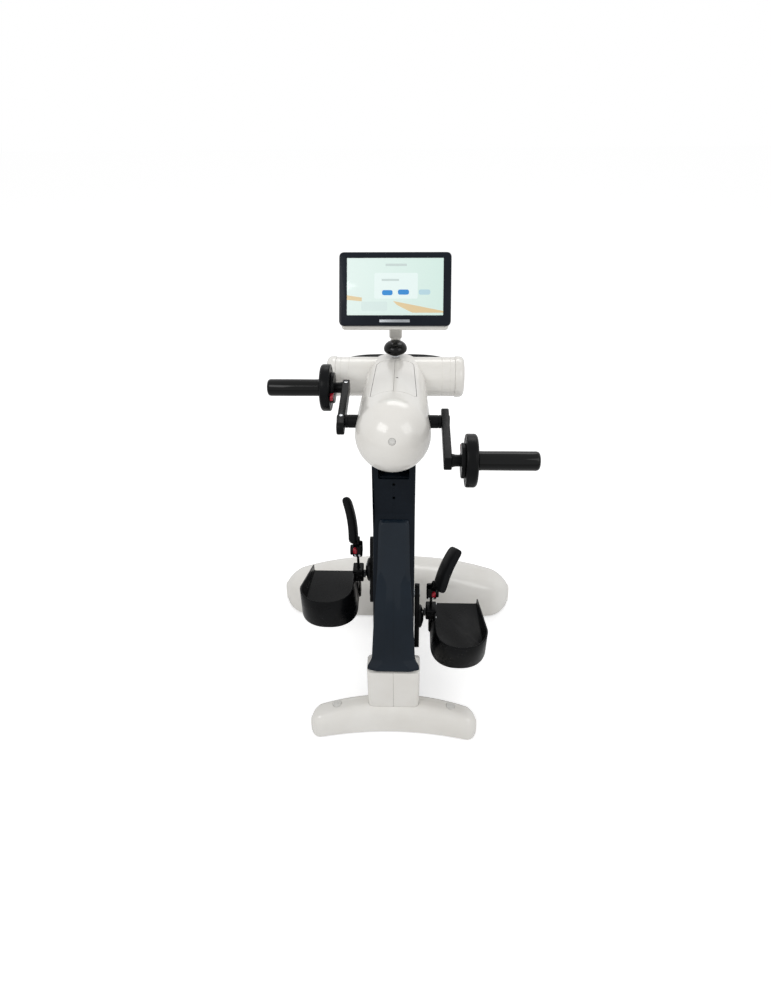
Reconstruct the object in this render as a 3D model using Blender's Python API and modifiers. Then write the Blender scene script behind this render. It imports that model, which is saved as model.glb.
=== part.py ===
# Rehabilitation exercise bike: leg pedals with calf supports, arm cranks with hand grips,
# a motor head on a height-adjustable column, and a display on a stalk.
# Metres, +Z up. The rider sits on the -Y side, and +X is the rider's right hand side.
# The origin is on the floor, under the middle of the whole machine.

import bpy
import bmesh
import math
from mathutils import Matrix, Vector

# Running and seating clearance between pieces that touch.
GAP = 0.0003

# Drive axes.
LEG_AXIS_Y = -0.038
LEG_AXIS_Z = 0.2687
ARM_AXIS_Y = -0.082
ARM_AXIS_Z = 0.789
TUBE_AXIS_Y = 0.147
TUBE_AXIS_Z = 0.770

# Feet and base frame.
PAD_HEIGHT = 0.010
FRONT_FOOT_WIDTH = 0.405
FRONT_FOOT_FRONT = -0.255
FRONT_FOOT_SWEEP = 0.026
FRONT_FOOT_DEPTH = 0.076
FRONT_FOOT_HEIGHT = 0.078
FRONT_FOOT_END_HEIGHT = 0.060
REAR_FOOT_WIDTH = 0.660
REAR_FOOT_FRONT = 0.132
REAR_FOOT_BACK = 0.281
REAR_FOOT_HEIGHT = 0.146
REAR_FOOT_END_HEIGHT = 0.074
SHELL_RIM = 0.004
SHELL_WALL = 0.004
BEAM_WIDTH = 0.050
BEAM_HEIGHT = 0.040
FRONT_CROSS_Y = -0.230
FRONT_CROSS_INSET = 0.0375
FRONT_CROSS_DEPTH = 0.030
REAR_CROSS_Y = 0.222
REAR_CROSS_INSET = 0.045
REAR_CROSS_DEPTH = 0.050
WHEEL_RADIUS = 0.022
WHEEL_WIDTH = 0.018
WHEEL_Y = 0.254
WHEEL_LIFT = 0.003
WHEEL_ROOM = 0.003
WHEEL_PIN_RADIUS = 0.005
PLUG_RADIUS = 0.0105
PLUG_INSET = 0.0635
PLUG_Y = -0.224

# Column.
COLUMN_HALF_WIDTH = 0.0465
COLUMN_WALL = 0.0035
COLUMN_FRONT = -0.071
COLUMN_BACK = 0.020
COLUMN_TOP_FRONT = 0.698
COLUMN_TOP_BACK = 0.702
CAVITY_BOTTOM = 0.640
CAVITY_HALF_WIDTH = 0.033
COVER_TOP = 0.535
COVER_BOTTOM = 0.207
COVER_TOP_FRONT = -0.086
COVER_MID_FRONT = -0.150
COVER_MID = 0.420
COVER_BOTTOM_FRONT = -0.233
COVER_THICKNESS = 0.010
COVER_TOP_HALF = 0.034
COVER_BOTTOM_HALF = 0.050
COVER_LIP_HALF = 0.060
COLLAR_HALF_WIDTH = 0.062
COLLAR_FRONT = -0.234
COLLAR_TOP = 0.200
COLLAR_BACK = -0.118
COLLAR_BACK_TOP = 0.128
COLLAR_WALL = 0.003
POST_SIZE = 0.050
POST_WALL = 0.003
POST_Y = -0.015
POST_BOTTOM = 0.345
POST_TOP = 0.690
SLIDE_BOTTOM = 0.440
SLIDE_WALL = 0.003
PLATE_X = 0.030
PLATE_THICKNESS = 0.005
PLATE_FRONT = -0.200
PLATE_SHOULDER = 0.190
PLATE_NECK = -0.100
PLATE_BACK = -0.128
PLATE_HEEL = 0.128
PLATE_WAIST = 0.250
FRAME_FOOT_THICKNESS = 0.006

# Leg drive.
LEG_SHAFT_RADIUS = 0.010
LEG_BEARING_RADIUS = 0.020
LEG_BEARING_WIDTH = 0.012
MOTOR_Y = -0.140
MOTOR_Z = 0.226
MOTOR_RADIUS = 0.041
MOTOR_LEFT = -0.0295
MOTOR_RIGHT = 0.008
PULLEY_LEFT = 0.0125
PULLEY_RIGHT = 0.0245
MOTOR_PULLEY_RADIUS = 0.016
CRANK_PULLEY_RADIUS = 0.048
BELT_THICKNESS = 0.002
LEG_CRANK_INNER = 0.0495
LEG_CRANK_THICKNESS = 0.012
LEG_CRANK_LONG = 0.1443
LEG_CRANK_SHORT = 0.0248
LEG_CRANK_HALF = 0.0135
LEG_CRANK_RADIUS = 0.049
LEG_CRANK_TILT = 24.9
LEG_CRANK_HOLES = (0.104, 0.124)
CLAMP_DISC_OFFSET = 0.0116
CLAMP_DISC_RADIUS = 0.029
CLAMP_DISC_THICKNESS = 0.0105
PEDAL_PIN_RADIUS = 0.0055
PEDAL_PIN_END = 0.100
HUB_RADIUS = 0.0088

# Pedals, measured from the pedal's own axis.
PEDAL_WIDTH = 0.138
PEDAL_INNER = 0.089
PEDAL_TOE = 0.0724
PEDAL_TOE_TAPER = 0.012
PEDAL_HEEL = -0.124
PEDAL_SOLE = -0.0592
PEDAL_WALL_HEIGHT = 0.0773
PEDAL_WALL_LEAN = 0.009
PEDAL_SLOPE_START = -0.080
PEDAL_TOE_WALL = 0.0192
PEDAL_SLOT_START = -0.016
PEDAL_SLOT_LENGTH = 0.036
PEDAL_SLOT_HEIGHT = 0.007
PEDAL_SLOT_Z = -0.040
PEDAL_SOLE_THICKNESS = 0.004
PEDAL_WALL = 0.0035
RIGHT_PEDAL_TOE_UP = 7.0
BRACKET_INNER = 0.077
BRACKET_OUTER = 0.103
BRACKET_HALF_LENGTH = 0.016
BRACKET_TOP = 0.023
BRACKET_BOTTOM = -0.013
BRACKET_PLATE = 0.0032
CALF_X = 0.0895
CALF_ROD_RADIUS = 0.0032
CALF_BLOCK_BOTTOM = 0.0658
CALF_BLOCK_TOP = 0.0982
CALF_BLOCK_WIDTH = 0.024
CALF_BLOCK_DEPTH = 0.028
CALF_PIVOT = 0.089
CALF_PAD_LENGTH = 0.108
CALF_PAD_THICKNESS = 0.023
CALF_PAD_WIDTH = 0.072
CALF_PAD_BEND = 0.275
CALF_PAD_TURN = 43.0
CALF_PAD_SHIFT = 0.030
CALF_PAD_DROP = 0.006
CALF_PAD_OUT = 0.008
CALF_LEAN_LEFT = -1.0
CALF_LEAN_RIGHT = 16.0
CALF_BUTTON_WIDTH = 0.009
CALF_BUTTON_HEIGHT = 0.017
CALF_BUTTON_Z = 0.0885
CALF_BUTTON_OFFSET = 0.005
CALF_KNOB_Z = 0.0785
CALF_KNOB_RADIUS = 0.0125
CALF_KNOB_THICKNESS = 0.006

# Head and cross tube.
HEAD_FRONT_Y = -0.107
HEAD_FRONT_Z = 0.775
HEAD_FRONT_RADIUS = 0.075
HEAD_BACK_RADIUS = 0.0526
HEAD_NECK_HALF = 0.066
HEAD_WALL = 0.003
PANEL_FRONT = -0.0615
PANEL_BACK = 0.118
PANEL_FRONT_HALF = 0.047
PANEL_BACK_HALF = 0.041
TUBE_RADIUS = 0.0437
TUBE_WALL = 0.004
TUBE_HALF_LENGTH = 0.132
CAP_RADIUS = 0.0454
CAP_LENGTH = 0.0213
HANDLE_HALF_LENGTH = 0.1277
HANDLE_BACK = 0.2176
HANDLE_BOTTOM = 0.7713
HANDLE_TOP = 0.7948
HEAD_POST_TOP = 0.742
HEAD_BLOCK_TOP = 0.768
ARM_MOTOR_RADIUS = 0.044
ARM_MOTOR_HALF = 0.036
ARM_SHAFT_RADIUS = 0.008
ARM_SLEEVE_RADIUS = 0.0132
SLEEVE_START = 0.0375
CLAMP_X = 0.031
CLAMP_THICKNESS = 0.008
CLAMP_BACK = 0.110
KNOB_RADIUS = 0.0255
KNOB_Y = 0.1426
KNOB_BOTTOM = 0.8230
KNOB_STEM_RADIUS = 0.0045
BUTTON_RADIUS = 0.0065
BUTTON_RISE = 21.0

# Arm cranks and grips.
ARM_CRANK_INNER = 0.0955
ARM_CRANK_THICKNESS = 0.015
ARM_CRANK_RADIUS = 0.128
ARM_CRANK_SHORT = 0.037
ARM_CRANK_END = 0.013
ARM_CRANK_HALF = 0.0135
SPINDLE_RADIUS = 0.006
SPINDLE_COLLAR_RADIUS = 0.011
SPINDLE_REACH = 0.045
HUB_PLATE_RADIUS = 0.033
DISC_INNER = 0.135
DISC_OUTER = 0.157
DISC_RADIUS = 0.0495
GRIP_RADIUS = 0.018
GRIP_END = 0.271
TAB_START = 0.023
TAB_END = 0.046
TAB_HALF = 0.0055

# Display.
STALK_Y = 0.1807
STALK_HALF_WIDTH = 0.014
STALK_HALF_DEPTH = 0.010
STALK_BOTTOM = 0.8500
STALK_NECK_RADIUS = 0.011
STALK_SPIGOT_RADIUS = 0.009
STALK_SEAT = 0.8205
STALK_SOCKET_DEPTH = 0.0165
HINGE_Y = 0.1807
HINGE_Z = 0.9348
HINGE_PIN_RADIUS = 0.003
SCREEN_CENTRE_Y = 0.1336
SCREEN_CENTRE_Z = 0.9774
DISPLAY_WIDTH = 0.232
DISPLAY_HEIGHT = 0.150
DISPLAY_TILT = 34.0
BEZEL_THICKNESS = 0.010
BACK_THICKNESS = 0.018
SCREEN_WIDTH = 0.1995
SCREEN_HEIGHT = 0.1165
SCREEN_OFFSET = 0.0045
GLASS_THICKNESS = 0.002

MATERIALS = {
    "white_shell": ("#E6E4DE", 0.25, 0.0),
    "column_dark": ("#141C26", 0.35, 0.0),
    "cover_gloss": ("#232C36", 0.15, 0.0),
    "black_plastic": ("#0A0B0C", 0.30, 0.0),
    "black_pad": ("#0D0E10", 0.85, 0.0),
    "red_plastic": ("#B0102A", 0.35, 0.0),
    "frame_steel": ("#2A2D31", 0.45, 0.6),
    "bright_steel": ("#B9BCC0", 0.25, 1.0),
    "rubber": ("#161616", 0.90, 0.0),
    "belt_rubber": ("#1B1B1B", 0.80, 0.0),
    "motor_alloy": ("#8C9094", 0.40, 0.9),
    "grey_plug": ("#C9C9C5", 0.45, 0.0),
    "bezel_dark": ("#1E2630", 0.30, 0.0),
    "screen_glass": ("#DCEFE9", 0.08, 0.0),
}


def remove_everything():
    for item in list(bpy.data.objects):
        bpy.data.objects.remove(item, do_unlink=True)


def new_collection(name):
    group = bpy.data.collections.new(name)
    bpy.context.scene.collection.children.link(group)
    return group


def linear(channel):
    return channel / 12.92 if channel <= 0.04045 else ((channel + 0.055) / 1.055) ** 2.4


def make_material(name):
    colour, roughness, metallic = MATERIALS[name]
    if name in bpy.data.materials:
        return bpy.data.materials[name]
    material = bpy.data.materials.new(name)
    material.use_nodes = True
    shader = material.node_tree.nodes["Principled BSDF"]
    red, green, blue = (linear(int(colour[i:i + 2], 16) / 255) for i in (1, 3, 5))
    shader.inputs["Base Color"].default_value = (red, green, blue, 1.0)
    shader.inputs["Roughness"].default_value = roughness
    shader.inputs["Metallic"].default_value = metallic
    return material


def object_from_bmesh(name, shape):
    mesh = bpy.data.meshes.new(name)
    shape.to_mesh(mesh)
    shape.free()
    piece = bpy.data.objects.new(name, mesh)
    return piece


def evaluated_mesh(piece):
    """The mesh of a linked object with its modifiers, welded, in world space."""
    bpy.context.view_layer.update()
    graph = bpy.context.evaluated_depsgraph_get()
    mesh = bpy.data.meshes.new_from_object(piece.evaluated_get(graph))
    mesh.transform(piece.matrix_world)
    shape = bmesh.new()
    shape.from_mesh(mesh)
    bmesh.ops.remove_doubles(shape, verts=shape.verts, dist=0.00001)
    bmesh.ops.recalc_face_normals(shape, faces=shape.faces)
    shape.to_mesh(mesh)
    shape.free()
    return mesh


def as_mesh(piece, name):
    """Replace a curve or a modified object by one plain mesh object in world space."""
    group = bpy.context.scene.collection
    group.objects.link(piece)
    mesh = evaluated_mesh(piece)
    bpy.data.objects.remove(piece, do_unlink=True)
    return bpy.data.objects.new(name, mesh)


def box(name, low, high, bevel=0.0, segments=2, edges="all"):
    """A box between two corners, with its edges rounded by bevel."""
    low, high = Vector(low), Vector(high)
    shape = bmesh.new()
    bmesh.ops.create_cube(shape, size=1.0)
    size = high - low
    bmesh.ops.scale(shape, vec=size, verts=shape.verts)
    bmesh.ops.translate(shape, vec=(low + high) / 2, verts=shape.verts)
    if bevel > 0:
        chosen = [e for e in shape.edges if edges == "all" or along(e, edges)]
        bmesh.ops.bevel(shape, geom=chosen, offset=bevel, segments=segments, profile=0.5,
                        affect="EDGES", clamp_overlap=True)
    return object_from_bmesh(name, shape)


def along(edge, axis):
    direction = (edge.verts[1].co - edge.verts[0].co).normalized()
    return abs(direction["XYZ".index(axis)]) > 0.9


def to_axis(axis):
    """The turn that carries local +Z onto a world axis."""
    if axis == "X":
        return Matrix(((0, 0, 1, 0), (1, 0, 0, 0), (0, 1, 0, 0), (0, 0, 0, 1)))
    if axis == "Y":
        return Matrix(((0, 1, 0, 0), (0, 0, 1, 0), (1, 0, 0, 0), (0, 0, 0, 1)))
    return Matrix.Identity(4)


def prism(name, loops, low, high, axis="X"):
    """A flat outline, with any inner loops as holes, extruded along a world axis.

    Outline points are (y, z) for axis X, (z, x) for axis Y and (x, y) for axis Z.
    """
    curve = bpy.data.curves.new(name, "CURVE")
    curve.dimensions = "2D"
    curve.fill_mode = "BOTH"
    curve.extrude = (high - low) / 2
    for loop in loops:
        spline = curve.splines.new("POLY")
        spline.points.add(len(loop) - 1)
        for point, (u, v) in zip(spline.points, loop):
            point.co = (u, v, 0, 1)
        spline.use_cyclic_u = True
    piece = bpy.data.objects.new(name, curve)
    piece.matrix_world = to_axis(axis) @ Matrix.Translation((0, 0, (low + high) / 2))
    return as_mesh(piece, name)


def turned(name, profile, centre, direction=(0, 0, 1), steps=32, closed=False):
    """A lathe shape: (radius, height) points, outer side top to bottom, about a direction."""
    mesh = bpy.data.meshes.new(name)
    points = [(radius, 0, height) for radius, height in profile]
    edges = [(i, i + 1) for i in range(len(points) - 1)]
    if closed:
        edges.append((len(points) - 1, 0))
    mesh.from_pydata(points, edges, [])
    piece = bpy.data.objects.new(name, mesh)
    screw = piece.modifiers.new("turn", "SCREW")
    screw.axis = "Z"
    screw.steps = steps
    screw.render_steps = steps
    screw.use_merge_vertices = True
    screw.merge_threshold = 0.00001
    turn = Vector(direction).to_track_quat("Z", "Y").to_matrix().to_4x4()
    piece.matrix_world = Matrix.Translation(centre) @ turn
    return as_mesh(piece, name)


def rod(name, radius, start, end, steps=24, chamfer=0.0):
    """A round bar between two points."""
    start, end = Vector(start), Vector(end)
    length = (end - start).length
    profile = [(0, length), (radius - chamfer, length)]
    if chamfer > 0:
        profile.append((radius, length - chamfer))
        profile.append((radius, chamfer))
    profile += [(radius - chamfer, 0), (0, 0)]
    return turned(name, profile, start, end - start, steps)


def ring(name, outer, inner, start, end, steps=32):
    """A round sleeve between two points."""
    start, end = Vector(start), Vector(end)
    length = (end - start).length
    profile = [(inner, length), (outer, length), (outer, 0), (inner, 0)]
    return turned(name, profile, start, end - start, steps, closed=True)


def loft(name, rings):
    """A closed skin over rings that all have the same number of points."""
    shape = bmesh.new()
    rows = [[shape.verts.new(point) for point in points] for points in rings]
    count = len(rows[0])
    for first, second in zip(rows, rows[1:]):
        for i in range(count):
            j = (i + 1) % count
            shape.faces.new((first[i], first[j], second[j], second[i]))
    shape.faces.new(rows[0])
    shape.faces.new(list(reversed(rows[-1])))
    bmesh.ops.recalc_face_normals(shape, faces=shape.faces)
    return object_from_bmesh(name, shape)


def arc(centre, radius, start, end, count):
    """Points on an arc, angles in degrees."""
    points = []
    for i in range(count + 1):
        angle = math.radians(start + (end - start) * i / count)
        points.append((centre[0] + radius * math.cos(angle), centre[1] + radius * math.sin(angle)))
    return points


def round_corners(points, radius, count=3):
    """An outline with each corner replaced by an arc of about the given radius."""
    result = []
    total = len(points)
    for i in range(total):
        before = Vector(points[i - 1])
        corner = Vector(points[i])
        after = Vector(points[(i + 1) % total])
        into = (before - corner).normalized()
        out = (after - corner).normalized()
        half = into.angle(out) / 2
        reach = min(radius / math.tan(half), 0.45 * (before - corner).length,
                    0.45 * (after - corner).length)
        start = corner + into * reach
        end = corner + out * reach
        for k in range(count + 1):
            t = k / count
            point = start.lerp(corner, t).lerp(corner.lerp(end, t), t)
            result.append((point.x, point.y))
    return result


class Workshop:
    """The parts and cutters collections, and the joint empties that carry the parts."""

    def __init__(self):
        self.parts = new_collection("rehabilitation exercise bike")
        self.cutters = new_collection("cutters")
        self.carriers = {}

    def carrier(self, name, place, parent=None):
        empty = bpy.data.objects.new(name + "_axis", None)
        empty.empty_display_size = 0.03
        self.parts.objects.link(empty)
        empty.location = place
        if parent:
            holder = self.carriers[parent]
            empty.parent = holder
            empty.location = Vector(place) - holder.matrix_world.translation
        bpy.context.view_layer.update()
        self.carriers[name] = empty

    def boolean(self, piece, tool, operation):
        tool.name = "tool_" + piece.name
        if tool.name not in self.cutters.objects:
            self.cutters.objects.link(tool)
        tool.hide_render = True
        tool.display_type = "WIRE"
        modifier = piece.modifiers.new(operation.lower(), "BOOLEAN")
        modifier.operation = operation
        modifier.solver = "EXACT"
        modifier.object = tool

    def cut(self, piece, tool):
        self.boolean(piece, tool, "DIFFERENCE")

    def join(self, piece, tool):
        self.boolean(piece, tool, "UNION")

    def common(self, piece, tool):
        self.boolean(piece, tool, "INTERSECT")

    def keep(self, piece, name, material, body, smooth=30):
        piece.name = name
        piece.data.name = name
        piece.data.materials.clear()
        piece.data.materials.append(make_material(material))
        piece.data.shade_smooth()
        piece.data.set_sharp_from_angle(angle=math.radians(smooth))
        self.parts.objects.link(piece)
        holder = self.carriers[body]
        piece.parent = holder
        piece.matrix_parent_inverse = holder.matrix_world.inverted()
        return piece


shop = None


def foot_rings(half_length, front, back, height, end_round, inset=0.0, steps=9, points=15):
    """Sections along X of a domed foot: front, back and height are functions of |x|."""
    reach = half_length - inset
    stations = []
    for i in range(-steps, steps + 1):
        share = math.sin(math.pi / 2 * i / steps)
        stations.append(share * reach)
    rings = []
    for x in stations:
        beyond = max(0.0, abs(x) - (reach - end_round)) / end_round
        shrink = max(0.30, math.sqrt(max(0.0, 1 - beyond ** 2)))
        y_front = front(abs(x)) + inset
        y_back = back(abs(x)) - inset
        middle = (y_front + y_back) / 2
        half = (y_back - y_front) / 2 * shrink
        floor = SHELL_RIM - (SHELL_RIM if inset > 0 else 0.0)
        top = (height(abs(x)) - inset) * (0.55 + 0.45 * shrink)
        section = []
        for k in range(points):
            angle = math.pi * (1 - k / (points - 1))
            u = math.copysign(abs(math.cos(angle)) ** (2 / 3.0), math.cos(angle))
            v = math.sin(angle) ** (2 / 2.4) if 0 < k < points - 1 else 0.0
            section.append((x, middle + half * u, floor + (top - floor) * v))
        rings.append(section)
    return rings


def front_edge(x):
    return FRONT_FOOT_FRONT - FRONT_FOOT_SWEEP * (x / (FRONT_FOOT_WIDTH / 2)) ** 2


def front_foot_back(x):
    return front_edge(x) + FRONT_FOOT_DEPTH - 0.006 * (x / (FRONT_FOOT_WIDTH / 2)) ** 2


def front_foot_height(x):
    fall = FRONT_FOOT_HEIGHT - FRONT_FOOT_END_HEIGHT
    return FRONT_FOOT_HEIGHT - fall * (x / (FRONT_FOOT_WIDTH / 2)) ** 2


def rear_edge(x):
    return REAR_FOOT_FRONT + 0.030 * (x / (REAR_FOOT_WIDTH / 2)) ** 8


def rear_foot_back(x):
    return REAR_FOOT_BACK - 0.014 * (x / (REAR_FOOT_WIDTH / 2)) ** 4


def rear_foot_height(x):
    fall = REAR_FOOT_HEIGHT - REAR_FOOT_END_HEIGHT
    return REAR_FOOT_HEIGHT - fall * (x / (REAR_FOOT_WIDTH / 2)) ** 2.2


def beam_passage(low_y, high_y):
    half = BEAM_WIDTH / 2 + GAP
    top = PAD_HEIGHT + BEAM_HEIGHT + GAP
    return box("passage", (-half, low_y, -0.01), (half, high_y, top))


def make_front_foot():
    args = (FRONT_FOOT_WIDTH / 2, front_edge, front_foot_back, front_foot_height, 0.026)
    foot = loft("front_foot", foot_rings(*args))
    shop.cut(foot, loft("inner", foot_rings(*args, inset=SHELL_WALL)))
    seat = collar_plan(COLLAR_HALF_WIDTH + GAP, COLLAR_FRONT - GAP, 0.0)
    shop.cut(foot, prism("seat", [seat], -0.01, 0.2, "Z"))
    shop.cut(foot, beam_passage(FRONT_CROSS_Y, 0.0))
    for side in (-1, 1):
        shop.cut(foot, rod("plug_hole", PLUG_RADIUS + GAP, (side * plug_x(), PLUG_Y, 0.03),
                           (side * plug_x(), PLUG_Y, FRONT_FOOT_HEIGHT + 0.04), 24))
    shop.keep(foot, "front_foot", "white_shell", "root", 40)


def make_rear_foot():
    args = (REAR_FOOT_WIDTH / 2, rear_edge, rear_foot_back, rear_foot_height, 0.055)
    foot = loft("rear_foot", foot_rings(*args, steps=11))
    shop.cut(foot, beam_passage(0.0, REAR_CROSS_Y))
    room = WHEEL_RADIUS + WHEEL_ROOM
    for side in (-1, 1):
        near, far = x_span(side, wheel_x() - WHEEL_ROOM, wheel_x() + WHEEL_WIDTH + WHEEL_ROOM)
        notch = box("notch", (near, WHEEL_Y - room, -0.02), (far, WHEEL_Y + 2 * room, wheel_axis_z() + room),
                    bevel=0.010, segments=3, edges="X")
        shop.cut(foot, notch)
    shop.cut(foot, loft("inner", foot_rings(*args, inset=SHELL_WALL, steps=11)))
    shop.keep(foot, "rear_foot", "white_shell", "root", 40)


def plug_x():
    return FRONT_FOOT_WIDTH / 2 - PLUG_INSET


def front_cross_half():
    return FRONT_FOOT_WIDTH / 2 - FRONT_CROSS_INSET


def rear_cross_half():
    return REAR_FOOT_WIDTH / 2 - REAR_CROSS_INSET


def wheel_x():
    """Inner face of a transport wheel."""
    return rear_cross_half() + WHEEL_ROOM + 5 * GAP


def wheel_axis_z():
    return WHEEL_LIFT + WHEEL_RADIUS


def make_base_frame():
    """Channels open at the underside: one lengthwise beam and two cross members."""
    low = PAD_HEIGHT
    high = PAD_HEIGHT + BEAM_HEIGHT
    wall = 0.003
    spans = [
        (BEAM_WIDTH / 2, FRONT_CROSS_Y, REAR_CROSS_Y, high),
        (front_cross_half(), FRONT_CROSS_Y - FRONT_CROSS_DEPTH / 2,
         FRONT_CROSS_Y + FRONT_CROSS_DEPTH / 2, high - 0.008),
        (rear_cross_half(), REAR_CROSS_Y - REAR_CROSS_DEPTH / 2,
         REAR_CROSS_Y + REAR_CROSS_DEPTH / 2, high),
    ]
    frame = None
    hollows = []
    for half, start, end, top in spans:
        solid = box("span", (-half, start, low), (half, end, top))
        hollows.append(box("hollow", (-half + wall, start + wall, low - 0.01),
                           (half - wall, end - wall, top - wall)))
        if frame is None:
            frame = solid
        else:
            shop.join(frame, solid)
    for hollow in hollows:
        shop.cut(frame, hollow)
    ear = WHEEL_PIN_RADIUS + 0.003
    for side in (-1, 1):
        start = side * (rear_cross_half() - wall)
        end = side * (wheel_x() + WHEEL_WIDTH)
        near, far = x_span(side, rear_cross_half() - wall, rear_cross_half())
        shop.join(frame, box("ear", (near, REAR_CROSS_Y, wheel_axis_z() - ear),
                             (far, WHEEL_Y + WHEEL_PIN_RADIUS - 0.001, wheel_axis_z() + ear)))
        shop.join(frame, rod("pin", WHEEL_PIN_RADIUS, (start, WHEEL_Y, wheel_axis_z()),
                             (end, WHEEL_Y, wheel_axis_z()), 16))
    shop.keep(frame, "base_frame", "frame_steel", "root")


def make_pads():
    front_half = front_cross_half()
    rear_half = rear_cross_half()
    front = box("front_pad", (-front_half, FRONT_CROSS_Y - FRONT_CROSS_DEPTH / 2, 0),
                (front_half, FRONT_CROSS_Y + FRONT_CROSS_DEPTH / 2, PAD_HEIGHT - GAP), 0.002, 1)
    shop.keep(front, "front_pad", "rubber", "root")
    rear = box("rear_pad", (-rear_half, REAR_CROSS_Y - REAR_CROSS_DEPTH / 2, 0),
               (rear_half, REAR_CROSS_Y + REAR_CROSS_DEPTH / 2, PAD_HEIGHT - GAP), 0.002, 1)
    shop.keep(rear, "rear_pad", "rubber", "root")


def make_transport_wheels():
    start = wheel_x()
    for side, word in ((-1, "left"), (1, "right")):
        near = side * start
        far = side * (start + WHEEL_WIDTH)
        wheel = turned("wheel", [(WHEEL_PIN_RADIUS + GAP, WHEEL_WIDTH), (WHEEL_RADIUS - 0.003, WHEEL_WIDTH),
                                 (WHEEL_RADIUS, WHEEL_WIDTH - 0.003), (WHEEL_RADIUS, 0.003),
                                 (WHEEL_RADIUS - 0.003, 0), (WHEEL_PIN_RADIUS + GAP, 0)],
                       (min(near, far), WHEEL_Y, wheel_axis_z()), (1, 0, 0), 32, closed=True)
        name = "transport_wheel_" + word
        shop.carrier(name, (near, WHEEL_Y, wheel_axis_z()), "root")
        shop.keep(wheel, name, "rubber", name)


def make_foot_plugs():
    for side, word in ((-1, "left"), (1, "right")):
        top = front_foot_surface(plug_x(), PLUG_Y) + 0.0012
        plug = turned("plug", [(0, 0), (PLUG_RADIUS - 0.0015, 0), (PLUG_RADIUS, -0.0015),
                               (PLUG_RADIUS, -0.009), (0, -0.009)],
                      (side * plug_x(), PLUG_Y, top), (0, 0, 1), 24)
        shop.keep(plug, "foot_plug_" + word, "grey_plug", "root")


def front_foot_surface(x, y):
    """Height of the front foot's skin at a point, from the same section formula."""
    front, back = front_edge(abs(x)), front_foot_back(abs(x))
    u = abs(y - (front + back) / 2) / ((back - front) / 2)
    cosine = u ** 1.5
    v = math.sqrt(1 - cosine ** 2) ** (2 / 2.4)
    return SHELL_RIM + (front_foot_height(abs(x)) - SHELL_RIM) * v


def collar_plan(half, front, inset):
    """Plan of the collar with rounded front corners, as (x, y) points."""
    corners = [(-half + inset, front + inset), (half - inset, front + inset),
               (half - inset, COLLAR_BACK - inset), (-half + inset, COLLAR_BACK - inset)]
    return round_corners(corners, 0.014 - inset)


def collar_profile(inset):
    low = PAD_HEIGHT + BEAM_HEIGHT + GAP
    bottom = low - (0.01 if inset > 0 else 0.0)
    return [(COLLAR_FRONT - 0.01, bottom), (COLLAR_BACK + 0.01, bottom),
            (COLLAR_BACK + 0.01, COLLAR_BACK_TOP - 0.01 - inset * 1.4),
            (-0.185, COLLAR_TOP - inset), (COLLAR_FRONT - 0.01, COLLAR_TOP - inset)]


def make_collar():
    """White boot round the foot of the column, in two halves."""
    for side, word in ((-1, "left"), (1, "right")):
        near, far = side * GAP / 2, side * (COLLAR_HALF_WIDTH + 0.01)
        collar = prism("collar", [collar_profile(0.0)], min(near, far), max(near, far))
        plan = collar_plan(COLLAR_HALF_WIDTH, COLLAR_FRONT, 0.0)
        shop.common(collar, prism("plan", [plan], 0.0, 0.3, "Z"))
        inner = prism("inner", [collar_plan(COLLAR_HALF_WIDTH, COLLAR_FRONT, COLLAR_WALL)], 0.0, 0.3, "Z")
        shop.common(inner, prism("inner_side", [collar_profile(COLLAR_WALL)], -0.1, 0.1))
        shop.cut(collar, inner)
        half = COLUMN_HALF_WIDTH + GAP
        shop.cut(collar, prism("throat", [column_outline(-GAP)], -half, half))
        shop.keep(collar, "collar_" + word, "white_shell", "root", 40)


def column_outline(inset):
    """Side outline of the column housing, (y, z), moved inwards by inset."""
    points = [(COVER_BOTTOM_FRONT + COVER_THICKNESS, 0.072),
              (COVER_BOTTOM_FRONT + COVER_THICKNESS, COVER_BOTTOM),
              (COVER_MID_FRONT + COVER_THICKNESS, COVER_MID),
              (COVER_TOP_FRONT + COVER_THICKNESS, COVER_TOP),
              (COLUMN_FRONT, COVER_TOP + 0.012),
              (COLUMN_FRONT, COLUMN_TOP_FRONT),
              (COLUMN_BACK, COLUMN_TOP_BACK),
              (COLUMN_BACK, 0.230),
              (COLLAR_BACK, 0.118),
              (COLLAR_BACK - 0.006, 0.072)]
    if inset == 0.0:
        return points
    middle = [Vector(p) for p in points]
    result = []
    total = len(middle)
    for i, corner in enumerate(middle):
        into = (corner - middle[i - 1]).normalized()
        out = (middle[(i + 1) % total] - corner).normalized()
        first = Vector((into.y, -into.x))
        second = Vector((out.y, -out.x))
        bisector = (first + second).normalized()
        shift = inset / max(0.3, bisector.dot(first))
        place = corner + bisector * shift
        result.append((place.x, place.y))
    return result


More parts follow.
